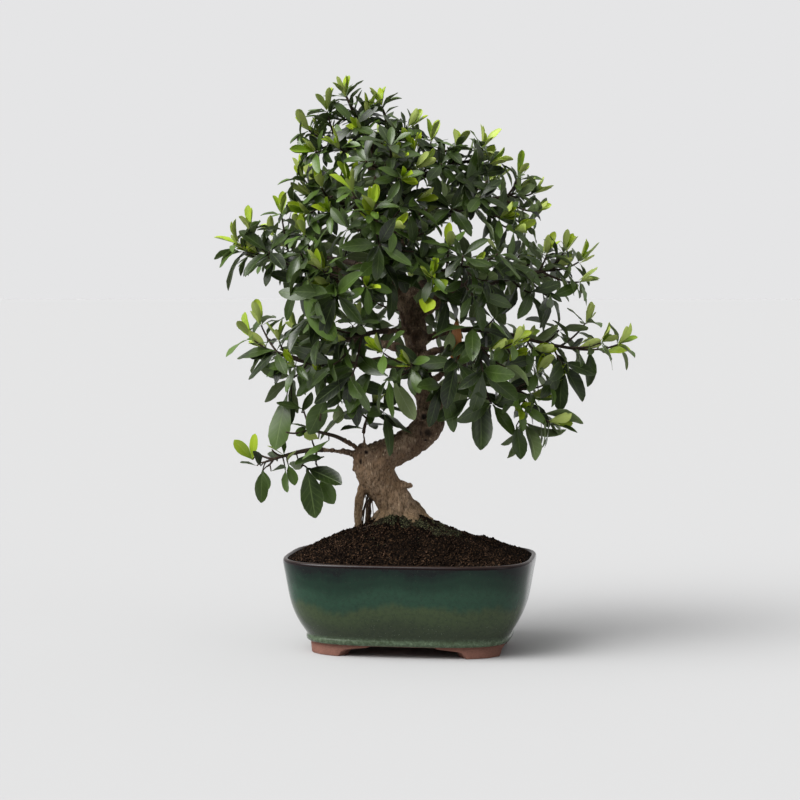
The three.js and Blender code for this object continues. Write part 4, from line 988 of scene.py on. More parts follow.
def trunk_bark():
    """Old firethorn bark: pale grey brown and flaked at the foot, darker and smoother above and painted
    darker still high up as painted shade from the crown, with cracks that are painted near black,
    partly their dark wood and partly painted shade, small breathing pores, green dust where it stays
    damp, and painted shade in its hollows."""
    material, tree, shader = new_material("old_firethorn_bark")
    place = add(tree, "TexCoord", "Object")
    height = add(tree, "SeparateXYZ", "Z", {0: place})
    drawn_up = add(tree, "Mapping", 0, {"Vector": place, "Scale": (1, 1, 0.4)})
    patches = add(tree, "TexNoise", "Fac", {
        "Vector": place, "Scale": 1 / 0.016, "Detail": 6, "Roughness": 0.62,
    })
    fibres = add(tree, "TexNoise", "Fac", {
        "Vector": drawn_up, "Scale": 1 / 0.0017, "Detail": 9, "Roughness": 0.7,
    })
    crack_lines = add(tree, "TexNoise", "Fac", {
        "Vector": drawn_up, "Scale": 1 / 0.0062, "Detail": 5, "Distortion": 1.4,
    }, noise_type="RIDGED_MULTIFRACTAL")
    pores = add(tree, "TexVoronoi", "Distance", {"Vector": drawn_up, "Scale": 1 / 0.0042})
    age = add(tree, "Math", 0, {0: patches, 1: 0.09, 2: height}, operation="MULTIPLY_ADD")
    share = add(tree, "MapRange", 0, {0: age, 1: 0.215, 2: 0.25}, interpolation_type="SMOOTHSTEP")
    paint = paint_over(tree, colour(0x92775C), 0x5A4536, share)
    # Painted shade: high up, where the crown shades the trunk, the bark is painted darker still.
    high = add(tree, "MapRange", 0, {0: age, 1: 0.41, 2: 0.48}, interpolation_type="SMOOTHSTEP")
    paint = paint_over(tree, paint, 0x33271E, high)
    blotch = add(tree, "MapRange", 0, {0: patches, 1: 0.4, 2: 0.64, 3: 0, 4: 0.62})
    paint = paint_over(tree, paint, 0xAB937A, blotch)
    shade = add(tree, "MapRange", 0, {0: fibres, 1: 0.38, 2: 0.54, 3: 0.75, 4: 0})
    paint = paint_over(tree, paint, 0x2A1F17, shade)
    # Cracks are painted near black: partly the dark wood in them, partly painted shade in the recess.
    crack_and_shade = add(tree, "MapRange", 0, {0: crack_lines, 1: 0.7, 2: 1.1, 3: 0, 4: 0.95})
    paint = paint_over(tree, paint, 0x1F1610, crack_and_shade)
    is_pore = add(tree, "MapRange", 0, {0: pores, 1: 0.1, 2: 0.2, 3: 0.7, 4: 0})
    paint = paint_over(tree, paint, 0xB9A58B, is_pore)
    damp = add(tree, "MapRange", 0, {0: age, 1: 0.17, 2: 0.2, 3: 0.45, 4: 0})
    green = add(tree, "Math", 0, {0: damp, 1: fibres}, operation="MULTIPLY")
    paint = paint_over(tree, paint, 0x4C4D2E, green)
    # Painted shade in the pressed-in hollows, read from the mark that the trunk's mesh carries.
    hollow_shade = add(tree, "Attribute", "Fac", attribute_name="hollow_shade")
    paint = paint_over(tree, paint, 0x1E1510, hollow_shade)
    relief = add(tree, "Math", 0, {0: is_pore, 1: 0.3, 2: fibres}, operation="MULTIPLY_ADD")
    relief = add(tree, "Math", 0, {0: crack_and_shade, 1: -0.8, 2: relief}, operation="MULTIPLY_ADD")
    bump = add(tree, "Bump", 0, {"Strength": 1, "Distance": 0.0016, "Height": relief})
    fill_sockets(tree, shader, {
        "Base Color": paint, "Roughness": 0.82, "Normal": bump, "Specular IOR Level": 0.25,
    })
    return material


def twig_bark():
    """Young bark of the twigs: thin, dark brown and fairly smooth."""
    material, tree, shader = new_material("young_firethorn_bark")
    place = add(tree, "TexCoord", "Object")
    grain = add(tree, "TexNoise", "Fac", {"Vector": place, "Scale": 1 / 0.0015, "Detail": 6})
    patches = add(tree, "TexNoise", "Fac", {"Vector": place, "Scale": 1 / 0.011, "Detail": 3})
    paint = paint_over(tree, colour(0x2E241E), 0x5A4838, patches)
    share = add(tree, "MapRange", 0, {0: grain, 1: 0.4, 2: 0.65, 3: 0.6, 4: 0})
    paint = paint_over(tree, paint, 0x1E1713, share)
    bump = add(tree, "Bump", 0, {"Strength": 0.5, "Distance": 0.0005, "Height": grain})
    fill_sockets(tree, shader, {
        "Base Color": paint, "Roughness": 0.75, "Normal": bump, "Specular IOR Level": 0.3,
    })
    return material


def leaf_skin(name, dark, pale, rib, rib_share, roughness, ageing):
    """Leaf surface under a thin wax: its midrib and side veins show paler, its edges are painted paler
    as a painted highlight, its tip and its younger leaves are of the paler colour, and the wax gives a
    soft sheen."""
    material, tree, shader = new_material(name)
    place = add(tree, "TexCoord", "UV")
    along = add(tree, "SeparateXYZ", "Y", {0: place})
    across = add(tree, "SeparateXYZ", "X", {0: place})
    offset = add(tree, "Math", 0, {0: across, 1: 0.5}, operation="SUBTRACT")
    aside = add(tree, "Math", 0, {0: offset}, operation="ABSOLUTE")
    slant = add(tree, "Math", 0, {0: aside, 1: -22}, operation="MULTIPLY")
    phase = add(tree, "Math", 0, {0: along, 1: 58, 2: slant}, operation="MULTIPLY_ADD")
    wave = add(tree, "Math", 0, {0: phase}, operation="SINE")
    veins = add(tree, "MapRange", 0, {0: wave, 1: 0.6, 2: 1, 3: 0, 4: 0.1})
    midrib = add(tree, "MapRange", 0, {0: aside, 1: 0.01, 2: 0.04, 3: rib_share, 4: 0})
    # Painted highlight: a paler band along the edges of the blade, as light caught on the wax there.
    edge_highlight = add(tree, "MapRange", 0, {0: aside, 1: 0.46, 2: 0.49, 3: 0, 4: 0.3})
    tint = add(tree, "Attribute", "Fac", attribute_name="tint")
    spot = add(tree, "TexCoord", "Object")
    blotches = add(tree, "TexNoise", "Fac", {"Vector": spot, "Scale": 1 / 0.01, "Detail": 3})
    aged = add(tree, "Math", 0, {0: along, 1: ageing, 2: tint}, operation="MULTIPLY_ADD")
    mixed = add(tree, "Math", 0, {0: blotches, 1: 0.4, 2: aged}, operation="MULTIPLY_ADD")
    share = add(tree, "Math", 0, {0: mixed, 1: 0.2}, operation="SUBTRACT", use_clamp=True)
    paint = paint_over(tree, colour(dark), pale, share)
    ribs = add(tree, "Math", 0, {0: midrib, 1: veins}, operation="MAXIMUM")
    # The ribs and the painted edge highlight are laid on in the rib colour.
    pale = add(tree, "Math", 0, {0: ribs, 1: edge_highlight}, operation="MAXIMUM")
    paint = paint_over(tree, paint, rib, pale)
    bump = add(tree, "Bump", 0, {"Strength": 0.4, "Distance": 0.0006, "Height": ribs}, invert=True)
    fill_sockets(tree, shader, {
        "Base Color": paint, "Roughness": roughness, "Normal": bump, "Specular IOR Level": 0.5,
    })
    return material


# Curves of the wood, the same as those of the frame


def curve_point(points, t):
    """Point of a smooth curve through points, each stretch taking an even share of t."""
    place = t * (len(points) - 1)
    index = min(int(place), len(points) - 2)
    share = place - index
    start, end = Vector(points[index][:3]), Vector(points[index + 1][:3])
    before = Vector(points[index - 1][:3]) if index > 0 else 2 * start - end
    after = Vector(points[index + 2][:3]) if index + 2 < len(points) else 2 * end - start
    out, into = (end - before) / 2, (after - start) / 2
    square, cube = share**2, share**3
    bend = (2 * cube - 3 * square + 1) * start + (3 * square - 2 * cube) * end
    return bend + (cube - 2 * square + share) * out + (cube - square) * into


def shoot_point(shoot, t):
    """Point of a side shoot, which is one sagging arc from its root to its tip."""
    root, middle, tip = shoot
    return (1 - t) ** 2 * root + 2 * t * (1 - t) * middle + t**2 * tip


def station(point_at, path, t):
    """Place on a path, its direction there and two directions across it."""
    step = 0.0001
    along = (point_at(path, min(t + step, 1)) - point_at(path, max(t - step, 0))).normalized()
    across = UP.copy() if abs(along.z) < 0.8 else Vector((1, 0, 0))
    across = (across - along * across.dot(along)).normalized()
    return point_at(path, t), along, across, across.cross(along)


def radius_from(points, t):
    place = t * (len(points) - 1)
    index = min(int(place), len(points) - 2)
    return blend(points[index][3], points[index + 1][3], place - index)


def limb_radius(limb, t):
    return blend(limb["radius"], LIMB_END_RADIUS, t)


def bare_end(limb):
    return limb["bare"] / (len(limb["points"]) - 1)


def shoot_curve(limb, tip):
    """A side shoot leaves its limb behind the nearest point, by half its length."""
    start = bare_end(limb)
    shares = [(index + FIRST_SAMPLE) / (SHOOT_SAMPLES + FIRST_SAMPLE) for index in range(SHOOT_SAMPLES + 1)]
    places = [curve_point(limb["points"], start + (1 - start) * share) for share in shares]
    reach = [(place - tip).length for place in places]
    nearest = reach.index(min(reach))
    root = nearest
    while root > 1 and (places[root] - places[nearest]).length < SHOOT_BACK * reach[nearest]:
        root -= 1
    middle = places[root].lerp(tip, SHOOT_BEND)
    middle.z -= SHOOT_SAG * (places[root] - tip).length
    return places[root], middle, tip


def wood(name, paths, sides):
    """Round wood along paths, each a list of (point, radius), as one mesh of closed tubes."""
    data = bpy.data.curves.new(name, "CURVE")
    data.dimensions = "3D"
    data.bevel_depth = 1
    data.bevel_resolution = sides // 4
    data.use_fill_caps = True
    for path in paths:
        spline = data.splines.new("POLY")
        spline.points.add(len(path) - 1)
        for knot, (place, radius) in zip(spline.points, path):
            knot.co = (*place, 1)
            knot.radius = radius
    piece = bpy.data.objects.new(name, data)
    bpy.context.collection.objects.link(piece)
    select(piece)
    bpy.ops.object.convert(target="MESH")
    return bpy.context.object


def path_along(points, radius_at, steps, start=0.0, end=1.0):
    shares = [start + (end - start) * step / steps for step in range(steps + 1)]
    return [(curve_point(points, t), radius_at(t)) for t in shares]


# Pot


def plan_at(cosine, sine, inset):
    """Point of the pot's plan, a rounded rectangle, drawn in from the rim."""
    power = 2 / PLAN_POWER
    x = (POT_LENGTH / 2 - inset) * np.sign(cosine) * np.abs(cosine) ** power
    y = (POT_DEPTH / 2 - inset) * np.sign(sine) * np.abs(sine) ** power
    return np.stack([x, y], axis=-1)


def extrude_ring(rise, old_inset, new_inset):
    """Draws the selected ring of faces or edges up and in, to a new inset from the rim."""
    bpy.ops.mesh.extrude_region_move(TRANSFORM_OT_translate={"value": (0, 0, rise)})
    narrow = [(side / 2 - new_inset) / (side / 2 - old_inset) for side in (POT_LENGTH, POT_DEPTH)]
    bpy.ops.transform.resize(value=(*narrow, 1), center_override=(0, 0, 0))


def extrude_wall(profile):
    """Raises the selection through all rows of a profile, from its first row on."""
    for (old_inset, old_height), (new_inset, new_height) in zip(profile, profile[1:]):
        extrude_ring(new_height - old_height, old_inset, new_inset)


def pot_wall():
    """The wall is raised from its underside, over the rim and down to the inner floor."""
    profile = [*OUTER_WALL, *RIM, *INNER_WALL]
    inset, height = profile[0]
    bpy.ops.mesh.primitive_circle_add(vertices=PLAN_SIDES, radius=1, fill_type="NGON")
    pot = bpy.context.object
    angles = 2 * np.pi * (np.arange(PLAN_SIDES) + 0.5) / PLAN_SIDES
    set_points(pot, [(x, y, height) for x, y in plan_at(np.cos(angles), np.sin(angles), inset)])
    with edit_mode(pot):
        extrude_wall(profile)
    point_outwards(pot)
    apply_modifier(pot, "SUBSURF", levels=1, render_levels=1)
    for side in (-1, 1):
        bpy.ops.mesh.primitive_cylinder_add(vertices=32, radius=DRAIN_RADIUS, depth=DRAIN_DEPTH)
        drill = bpy.context.object
        drill.location = (side * DRAIN_SPACING / 2, 0, (FOOT_HEIGHT + FLOOR_TOP) / 2)
        apply_modifier(pot, "BOOLEAN", object=drill, operation="DIFFERENCE", solver="EXACT")
        remove(drill)
    return pot


def foot_underside(degrees):
    angles, heights = zip(*FOOT_PROFILE)
    return float(np.interp(degrees, angles, heights))


def bracket_foot(flip_x, flip_y):
    """A bar cut across into stations and bent round one corner of the pot."""
    bpy.ops.mesh.primitive_cube_add(size=1)
    foot = bpy.context.object
    with edit_mode(foot):
        for cut in range(1, FOOT_STATIONS):
            bpy.ops.mesh.select_all(action="SELECT")
            bpy.ops.mesh.bisect(plane_co=(cut / FOOT_STATIONS - 0.5, 0, 0), plane_no=(1, 0, 0))
    first, last = FOOT_PROFILE[0][0], FOOT_PROFILE[-1][0]
    bent = []
    for x, y, z in get_points(foot):
        degrees = blend(first, last, x + 0.5)
        angle = math.radians(degrees)
        inset = FOOT_INSET + (0.5 - y) * FOOT_WIDTH
        plan = plan_at(np.cos(angle), np.sin(angle), inset)
        level = blend(foot_underside(degrees), FOOT_HEIGHT + FOOT_SINK, z + 0.5)
        bent.append((flip_x * plan[0], flip_y * plan[1], level))
    set_points(foot, bent)
    point_outwards(foot)
    apply_modifier(foot, "BEVEL", width=0.0009, segments=3, limit_method="ANGLE")
    return foot


def dress_pot(glaze, clay):
    """The glaze covers the outside and the rim, and stops above the feet and inside the rim."""
    body = pot_wall()
    body.data.materials.append(glaze)
    body.data.materials.append(clay)
    for face in body.data.polygons:
        is_under = face.center.z < GLAZE_LOWER_EDGE
        is_inner_side = face.normal.x * face.center.x + face.normal.y * face.center.y < 0
        is_floor = face.normal.z > 0.5 and face.center.z < GLAZE_INSIDE
        is_inside = face.center.z < GLAZE_INSIDE and is_inner_side
        face.material_index = int(is_under or is_inside or is_floor)
    feet = [bracket_foot(flip_x, flip_y) for flip_x in (1, -1) for flip_y in (1, -1)]
    for foot in feet:
        foot.data.materials.append(clay)
    pot = join([body, *feet], "glazed_pot")
    smooth(pot, 50)
    pot.data.transform(Matrix.Translation(POT_MIDDLE))
    finish_piece(pot, [], ["pot"])


# Soil


def mound_point(reach, angle):
    """Point of the mounded soil, reach being 0 at the middle and 1 at the pot's wall."""
    edge = plan_at(np.cos(angle), np.sin(angle), SOIL_EDGE_INSET)
    true_angle = np.arctan2(edge[..., 1], edge[..., 0])
    fall = np.minimum(1, (1 - reach) / (1 - MOUND_FLAT)) ** MOUND_POWER
    lumps = sum(
        height * np.sin(waves * true_angle + drift * reach) for height, waves, drift in MOUND_LUMPS
    )
    x = edge[..., 0] * reach + MOUND_CENTRE * (1 - reach)
    y = edge[..., 1] * reach
    z = SOIL_EDGE + (SOIL_TOP - SOIL_EDGE) * fall + lumps * np.sin(np.pi * reach)
    return np.stack([x, y, z], axis=-1)


def cloud_texture(name, size, kind="CLOUDS"):
    texture = bpy.data.textures.new(name, kind)
    texture.noise_scale = size
    return texture


def soil_body():
    """A fine grid drawn over the mound, crumbled, and closed down the pot's inner wall."""
    columns, rows = SOIL_GRID
    bpy.ops.mesh.primitive_grid_add(x_subdivisions=columns, y_subdivisions=rows, size=2)
    soil = bpy.context.object
    x, y, _ = get_points(soil).T
    reach = np.minimum(np.maximum(np.abs(x), np.abs(y)), 1)
    power = PLAN_POWER / 2
    angle = np.arctan2(np.sign(y) * np.abs(y) ** power, np.sign(x) * np.abs(x) ** power)
    set_points(soil, mound_point(reach, angle))
    crumbled = soil.vertex_groups.new(name="crumbled")
    for index, value in enumerate(reach):
        crumbled.add([index], float(np.clip((1 - value) * EDGE_FADE, 0, 1)), "REPLACE")
    for size, strength in CRUMBLING:
        apply_modifier(
            soil, "DISPLACE", texture=cloud_texture("crumbs", size), strength=strength,
            mid_level=0.5, vertex_group="crumbled", direction="Z",
        )
    with edit_mode(soil):
        bpy.ops.mesh.select_all(action="DESELECT")
        bpy.ops.mesh.select_non_manifold()
        extrude_wall([(SOIL_EDGE_INSET, SOIL_EDGE), *SOIL_SIDES])
        bpy.ops.mesh.edge_face_add()
    return soil


def crumb_model():
    """A small uneven lump, for crumbs of soil and tufts of moss."""
    bpy.ops.mesh.primitive_ico_sphere_add(subdivisions=1, radius=1)
    crumb = bpy.context.object
    rough = [point * between(*LUMP_RADIUS, index) for index, point in enumerate(get_points(crumb))]
    set_points(crumb, rough)
    return crumb


def splinter_model():
    """A thin splinter of root or bark, bent in the middle."""
    bpy.ops.mesh.primitive_cylinder_add(vertices=4, radius=SPLINTER_RADIUS, depth=2)
    splinter = bpy.context.object
    with edit_mode(splinter):
        bpy.ops.mesh.bisect(plane_co=(0, 0, 0), plane_no=(0, 0, 1))
    set_points(splinter, [(x + SPLINTER_BEND * (1 - z * z), y, z) for x, y, z in get_points(splinter)])
    return splinter


def surface_place(seed, low, high, first_angle, last_angle):
    """A drawn place on the mound between two reaches and two angles."""
    reach = math.sqrt(between(low**2, high**2, seed))
    return Vector(mound_point(reach, between(first_angle, last_angle, seed + 0.5)))


def scattered(model, count, seed, size, reaches, angles):
    """Copies of a model strewn over a part of the mound, each turned and sized by its own draws."""
    copies = []
    for index in range(count):
        own = seed + STREWN_STEP * index
        copy = copy_of(model)
        scale = between(*size, own + 0.1)
        copy.location = surface_place(own, *reaches, *angles)
        copy.rotation_euler = Euler([2 * math.pi * draw(own + share) for share in (0.2, 0.3, 0.4)])
        stretches = [between(*LUMP_STRETCH, own + share) for share in (0.6, 0.7)]
        copy.scale = (scale, scale * stretches[0], scale * stretches[1])
        copies.append(copy)
    return copies


def dress_soil(soil_finish, crumb_finish, fleck_finish):
    """The crumbled mound, with crumbs and pale splinters strewn over it."""
    body = soil_body()
    body.data.materials.append(soil_finish)
    crumb, splinter = crumb_model(), splinter_model()
    crumb.data.materials.append(crumb_finish)
    splinter.data.materials.append(fleck_finish)
    everywhere = {"reaches": STREWN_REACHES, "angles": (-math.pi, math.pi)}
    crumbs = scattered(crumb, CRUMB_COUNT, CRUMB_SEED, CRUMB_SIZE, **everywhere)
    flecks = scattered(splinter, FLECK_COUNT, FLECK_SEED, FLECK_SIZE, **everywhere)
    soil = join([body, *crumbs, *flecks], "peat_soil")
    remove(crumb, splinter)
    apply_place(soil)
    soil.data.transform(Matrix.Translation(POT_MIDDLE))
    smooth(soil, 75)
    finish_piece(soil, [], ["soil"])


def dress_moss(finish):
    """Moss grows on the soil round the foot of the trunk, thickest in front and to the right."""
    model = crumb_model()
    tufts = []
    for count, seed, size, reaches, angles in MOSS_PATCHES:
        tufts += scattered(model, count, seed, size, reaches, angles)
    moss = join(tufts, "moss")
    remove(model)
    apply_place(moss)
    moss.data.transform(Matrix.Translation(POT_MIDDLE))
    smooth(moss, 60)
    finish_piece(moss, [finish])


def rootlet_path(seed):
    """A thin root that runs out over the mound from the foot of the trunk."""
    angle = between(*ROOTLET_ANGLES, seed)
    start, end = between(*ROOTLET_START, seed + 1), between(*ROOTLET_END, seed + 2)
    thickest = between(*ROOTLET_RADIUS, seed + 4)
    path = []
    for step in range(ROOTLET_STEPS + 1):
        share = step / ROOTLET_STEPS
        sway = ROOTLET_SWAY * math.sin(5 * share + 9 * draw(seed + 3))
        place = Vector(mound_point(blend(start, end, share), angle + sway))
        path.append((place, blend(thickest, ROOTLET_TIP_RADIUS, share)))
    return path


def dress_rootlets(finish):
    paths = [rootlet_path(ROOTLET_SEED + ROOTLET_SEED_STEP * index) for index in range(ROOTLET_COUNT)]
    rootlets = wood("surface_rootlets", paths, THIN_SIDES)
    rootlets.data.transform(Matrix.Translation(POT_MIDDLE))
    smooth(rootlets, 60)
    finish_piece(rootlets, [finish])


# Trunk


def callus_ring(place, width, height, thickness, turn):
    """A rolled lip of bark that has grown round an old cut."""
    bpy.ops.mesh.primitive_torus_add(
        major_radius=1, minor_radius=thickness, major_segments=32, minor_segments=12,
        location=place, rotation=(math.radians(90), 0, math.radians(turn)),
    )
    ring = bpy.context.object
    ring.scale = (width / 2, height / 2, width / 2)
    apply_place(ring)
    return ring


def burl(place, radius, stretch):
    bpy.ops.mesh.primitive_ico_sphere_add(subdivisions=3, radius=radius, location=place)
    lump = bpy.context.object
    lump.scale = (1, 1, stretch)
    apply_place(lump)
    return lump


def trunk_wood():
    """Trunk, roots, burls, scars and the bare starts of the limbs, not yet grown together."""
    paths = [path_along(TRUNK, lambda t: radius_from(TRUNK, t), TRUNK_STEPS)]
    for root in [*ROOTS, STUB]:
        paths.append(path_along(root, lambda t, root=root: radius_from(root, t), ROOT_STEPS))
    for limb in LIMBS:
        steps = LIMB_STEPS * math.ceil(limb["bare"])
        radius = lambda t, limb=limb: limb_radius(limb, t)
        paths.append(path_along(limb["points"], radius, steps, end=bare_end(limb)))
    parts = [wood("wood", paths, TRUNK_SIDES)]
    parts += [burl(lump[:3], lump[3], lump[4]) for lump in [*BURLS, *KNOTS]]
    parts += [callus_ring(*scar) for scar in SCARS]
    return join(parts, "trunk_wood")


def bark_relief(trunk):
    """Lumps, then long cracks, then fine crumbling, all drawn out along the trunk's height."""
    bpy.ops.object.empty_add()
    drawn_up = bpy.context.object
    drawn_up.scale = (1, 1, BARK_STRETCH)
    for kind, size, strength in BARK_RELIEF:
        texture = cloud_texture("bark", size, kind)
        if kind == "MUSGRAVE":
            texture.musgrave_type = "RIDGED_MULTIFRACTAL"
        apply_modifier(
            trunk, "DISPLACE", texture=texture, strength=strength, mid_level=0.5,
            texture_coords="OBJECT", texture_coords_object=drawn_up,
        )
    remove(drawn_up)


def press_hollows(trunk):
    """Presses the surface in at each of the hollows, softly towards its edge, and marks how much painted
    shade it gets there.
    """
    points = get_points(trunk)
    darkness = np.zeros(len(points))
    for (x, y, z), radius, stretch, depth, shade in HOLLOWS:
        away = (points - np.array((x, y, z))) / np.array((1, 1, stretch))
        share = np.clip(1 - np.linalg.norm(away, axis=1) / radius, 0, 1)
        share = share * share * (3 - 2 * share)
        points[:, 1] += share * depth
        darkness = np.maximum(darkness, np.minimum(1, HOLLOW_SHADE_SHARPNESS * share) * shade)
    set_points(trunk, points)
    set_attribute(trunk, "hollow_shade", darkness)


def dress_trunk(finish):
    trunk = trunk_wood()
    apply_modifier(trunk, "REMESH", mode="VOXEL", voxel_size=TRUNK_VOXEL, use_smooth_shade=True)
    apply_modifier(trunk, "SMOOTH", factor=0.5, iterations=4)
    bark_relief(trunk)
    press_hollows(trunk)
    trunk.data.transform(PLANT_PLACE)
    select(trunk)
    bpy.ops.object.shade_smooth()
    finish_piece(trunk, [finish], ["trunk"])


def dress_air_roots(finish):
    """Thin roots that hang between the loose root and the trunk, down into the soil."""
    paths = []
    for index in range(AIR_ROOT_COUNT):
        seed = AIR_ROOT_SEED + AIR_ROOT_SEED_STEP * index
        (right, back, up), (foot_right, foot_back, foot_up) = AIR_ROOT_TOP, AIR_ROOT_FOOT
        top = Vector((between(*right, seed), between(*back, seed + 1), up))
        low = Vector((between(*foot_right, seed + 2), between(*foot_back, seed + 3), foot_up))
        side = Vector((between(*AIR_ROOT_SWAY, seed + 4), between(*AIR_ROOT_SWAY, seed + 5), 0))
        shoot = (top, top.lerp(low, 0.5) + side, low)
        radius = between(*AIR_ROOT_RADIUS, seed + 6)
        steps = [step / AIR_ROOT_STEPS for step in range(AIR_ROOT_STEPS + 1)]
        paths.append([(shoot_point(shoot, t), radius) for t in steps])
    roots = wood("air_roots", paths, THIN_SIDES)
    roots.data.transform(PLANT_PLACE)
    smooth(roots, 60)
    finish_piece(roots, [finish])


# Leaves

# Rows of a leaf from its stalk to its tip: (share of the length, share of the width, how far the
# outer points of the row are drawn back, as a share of the length).
MATURE_ROWS = [
    (0, 0.07, 0), (0.1, 0.16, 0), (0.24, 0.58, 0), (0.42, 0.9, 0), (0.6, 1, 0), (0.78, 0.86, 0),
    (0.92, 0.54, 0.01), (1, 0.14, 0.01),
]
YOUNG_ROWS = [
    (0, 0.12, 0), (0.08, 0.16, 0), (0.24, 0.5, 0), (0.44, 0.88, 0), (0.62, 1, 0), (0.8, 0.88, 0),
    (0.93, 0.56, 0.01), (1, 0.18, 0.02),
]
LEAF_COLUMNS = 2
LEAF_THICKNESS = 0.022


def leaf_model(name, rows, upper, under):
    """A flat blade of length 1 and width 1, with a thickness and two faces."""
    bpy.ops.mesh.primitive_grid_add(x_subdivisions=LEAF_COLUMNS, y_subdivisions=len(rows) - 1, size=1)
    leaf = bpy.context.object
    leaf.name = name
    points = []
    for x, y, _ in get_points(leaf):
        share, breadth, drawn_back = rows[round((y + 0.5) * (len(rows) - 1))]
        points.append((x * breadth, share - drawn_back * (2 * x) ** 2, 0))
    set_points(leaf, points)
    for material in (upper, under):
        leaf.data.materials.append(material)
    apply_modifier(leaf, "SOLIDIFY", thickness=LEAF_THICKNESS, offset=-1, material_offset=1)
    smooth(leaf, 50)
    return leaf


def grown_leaf(model, root, along, face, length, width, seed, bend, tint, fold=FOLD_RANGE):
    """A copy of a leaf model laid from its root along a direction: folded at its rib, waved at its
    edges, bent along its length, and twisted."""
    along = along.normalized()
    face = (face - along * face.dot(along)).normalized()
    side = along.cross(face)
    copy = copy_of(model)
    x, y, z = get_points(copy).T
    wave = LEAF_WAVE * np.sin(9 * y + 2 * math.pi * draw(seed + 11) + 3 * x)
    folded = 2 * np.abs(x) * (between(*fold, seed + 7) * LEAF_FOLD + wave)
    lift = (z + folded) * width
    angle = between(-LEAF_TWIST, LEAF_TWIST, seed + 9) * y
    sway = between(-LEAF_SWAY, LEAF_SWAY, seed + 10) * length * y**2
    sideways = x * width * np.cos(angle) - lift * np.sin(angle) + sway
    lifted = x * width * np.sin(angle) + lift * np.cos(angle) - bend * length * y**2
    placed = np.outer(y * length, along) + np.outer(sideways, side) + np.outer(lifted, face)
    set_points(copy, np.array(root) + placed)
    set_attribute(copy, "tint", np.full(len(x), tint))
    return copy


def lowness(height):
    """How low a height is in the crown: 0 at the top and 1 at its lower edge."""
    return min(1, max(0, (CROWN_TOP - height) / (CROWN_TOP - CROWN_LOW)))


def radial_at(across, other, angle):
    return across * math.cos(angle) + other * math.sin(angle)


def whorl_leaf(models, tip, seed, index, young):
    """A leaf of the whorl at the tip of a shoot, by the same rule as in the frame."""
    place, along, across, other = tip
    is_young = young and index == YOUNG_PLACE
    own = seed + LEAF_SEED_STEP * index
    low = lowness(place.z)
    radial = radial_at(across, other, 2 * math.pi * (draw(seed) + index / WHORL))
    spread = between(*(YOUNG_SPREAD if is_young else SPREAD), own + 1)
    droop = between(*(YOUNG_DROOP if is_young else DROOP), own + 2) + (0 if is_young else LOW_DROOP * low)
    growth = 1 if is_young else blend(TOP_GROWTH, LOW_GROWTH, low)
    outer = TIP_LENGTH if young else SHADED_LENGTH
    length = growth * between(*(YOUNG_LENGTH if is_young else outer), own + 3)
    return grown_leaf(
        models["young" if is_young else "mature"],
        root=place + radial * WHORL_RADIUS,
        along=along * math.cos(spread) + radial * math.sin(spread) - UP * droop,
        face=along + 0.5 * UP,
        length=length,
        width=length * between(*(YOUNG_WIDTH_SHARE if is_young else WIDTH_SHARE), own + 5),
        seed=own,
        bend=between(*(YOUNG_BEND if is_young else BEND), own + 6),
        tint=between(*(TIP_TINT if young else SHADED_TINT), own + 8),
    )


def rosette_leaf(models, tip, seed, index):
    """One of the fresh leaves that stand up in the middle of a young tip."""
    place, along, across, other = tip
    own = seed + 13 + LEAF_SEED_STEP * index
    small = index >= FRESH_LONG
    turn = math.pi * index * (1.5 if small else 1) + 2 * math.pi * draw(seed + 3)
    radial = radial_at(across, other, turn)
    spread = between(*(SMALL_SPREAD if small else LONG_SPREAD), own + 1)
    length = between(*(SMALL_LENGTH if small else LONG_LENGTH), own + 3)
    return grown_leaf(
        models["young"],
        root=place + along * 0.001,
        along=(along + 0.5 * UP).normalized() * math.cos(spread) + radial * math.sin(spread),
        face=radial * -1 + 0.3 * along,
        length=length,
        width=length * between(*YOUNG_WIDTH_SHARE, own + 5),
        seed=own,
        bend=between(*FRESH_BEND, own + 6),
        tint=between(0, 1, own + 8),
        fold=FRESH_FOLD,
    )


def stem_leaf(models, stem_station, seed, index):
    """A leaf set by itself on a stem, turned on from the last one."""
    place, along, across, other = stem_station
    own = seed + 31 + STEM_SEED_STEP * index
    low = lowness(place.z)
    radial = radial_at(across, other, GOLDEN_ANGLE * index + 2 * math.pi * draw(seed + 17))
    spread = between(*STEM_SPREAD, own + 1)
    droop = between(*STEM_DROOP, own + 2) + LOW_DROOP * low
    length = between(*STEM_LENGTH, own + 3) * blend(TOP_GROWTH, LOW_GROWTH, low)
    return grown_leaf(
        models["mature"],
        root=place,
        along=along * math.cos(spread) + radial * math.sin(spread) - UP * droop,
        face=along + 0.5 * UP,
        length=length,
        width=length * between(*WIDTH_SHARE, own + 5),
        seed=own,
        bend=between(*BEND, own + 6),
        tint=between(*SHADED_TINT, own + 8),
    )


def shoot_leaves(models, tip, seed, young):
    leaves = [whorl_leaf(models, tip, seed, index, young) for index in range(WHORL)]
    if young:
        leaves += [rosette_leaf(models, tip, seed, index) for index in range(FRESH_LEAVES)]
    return leaves


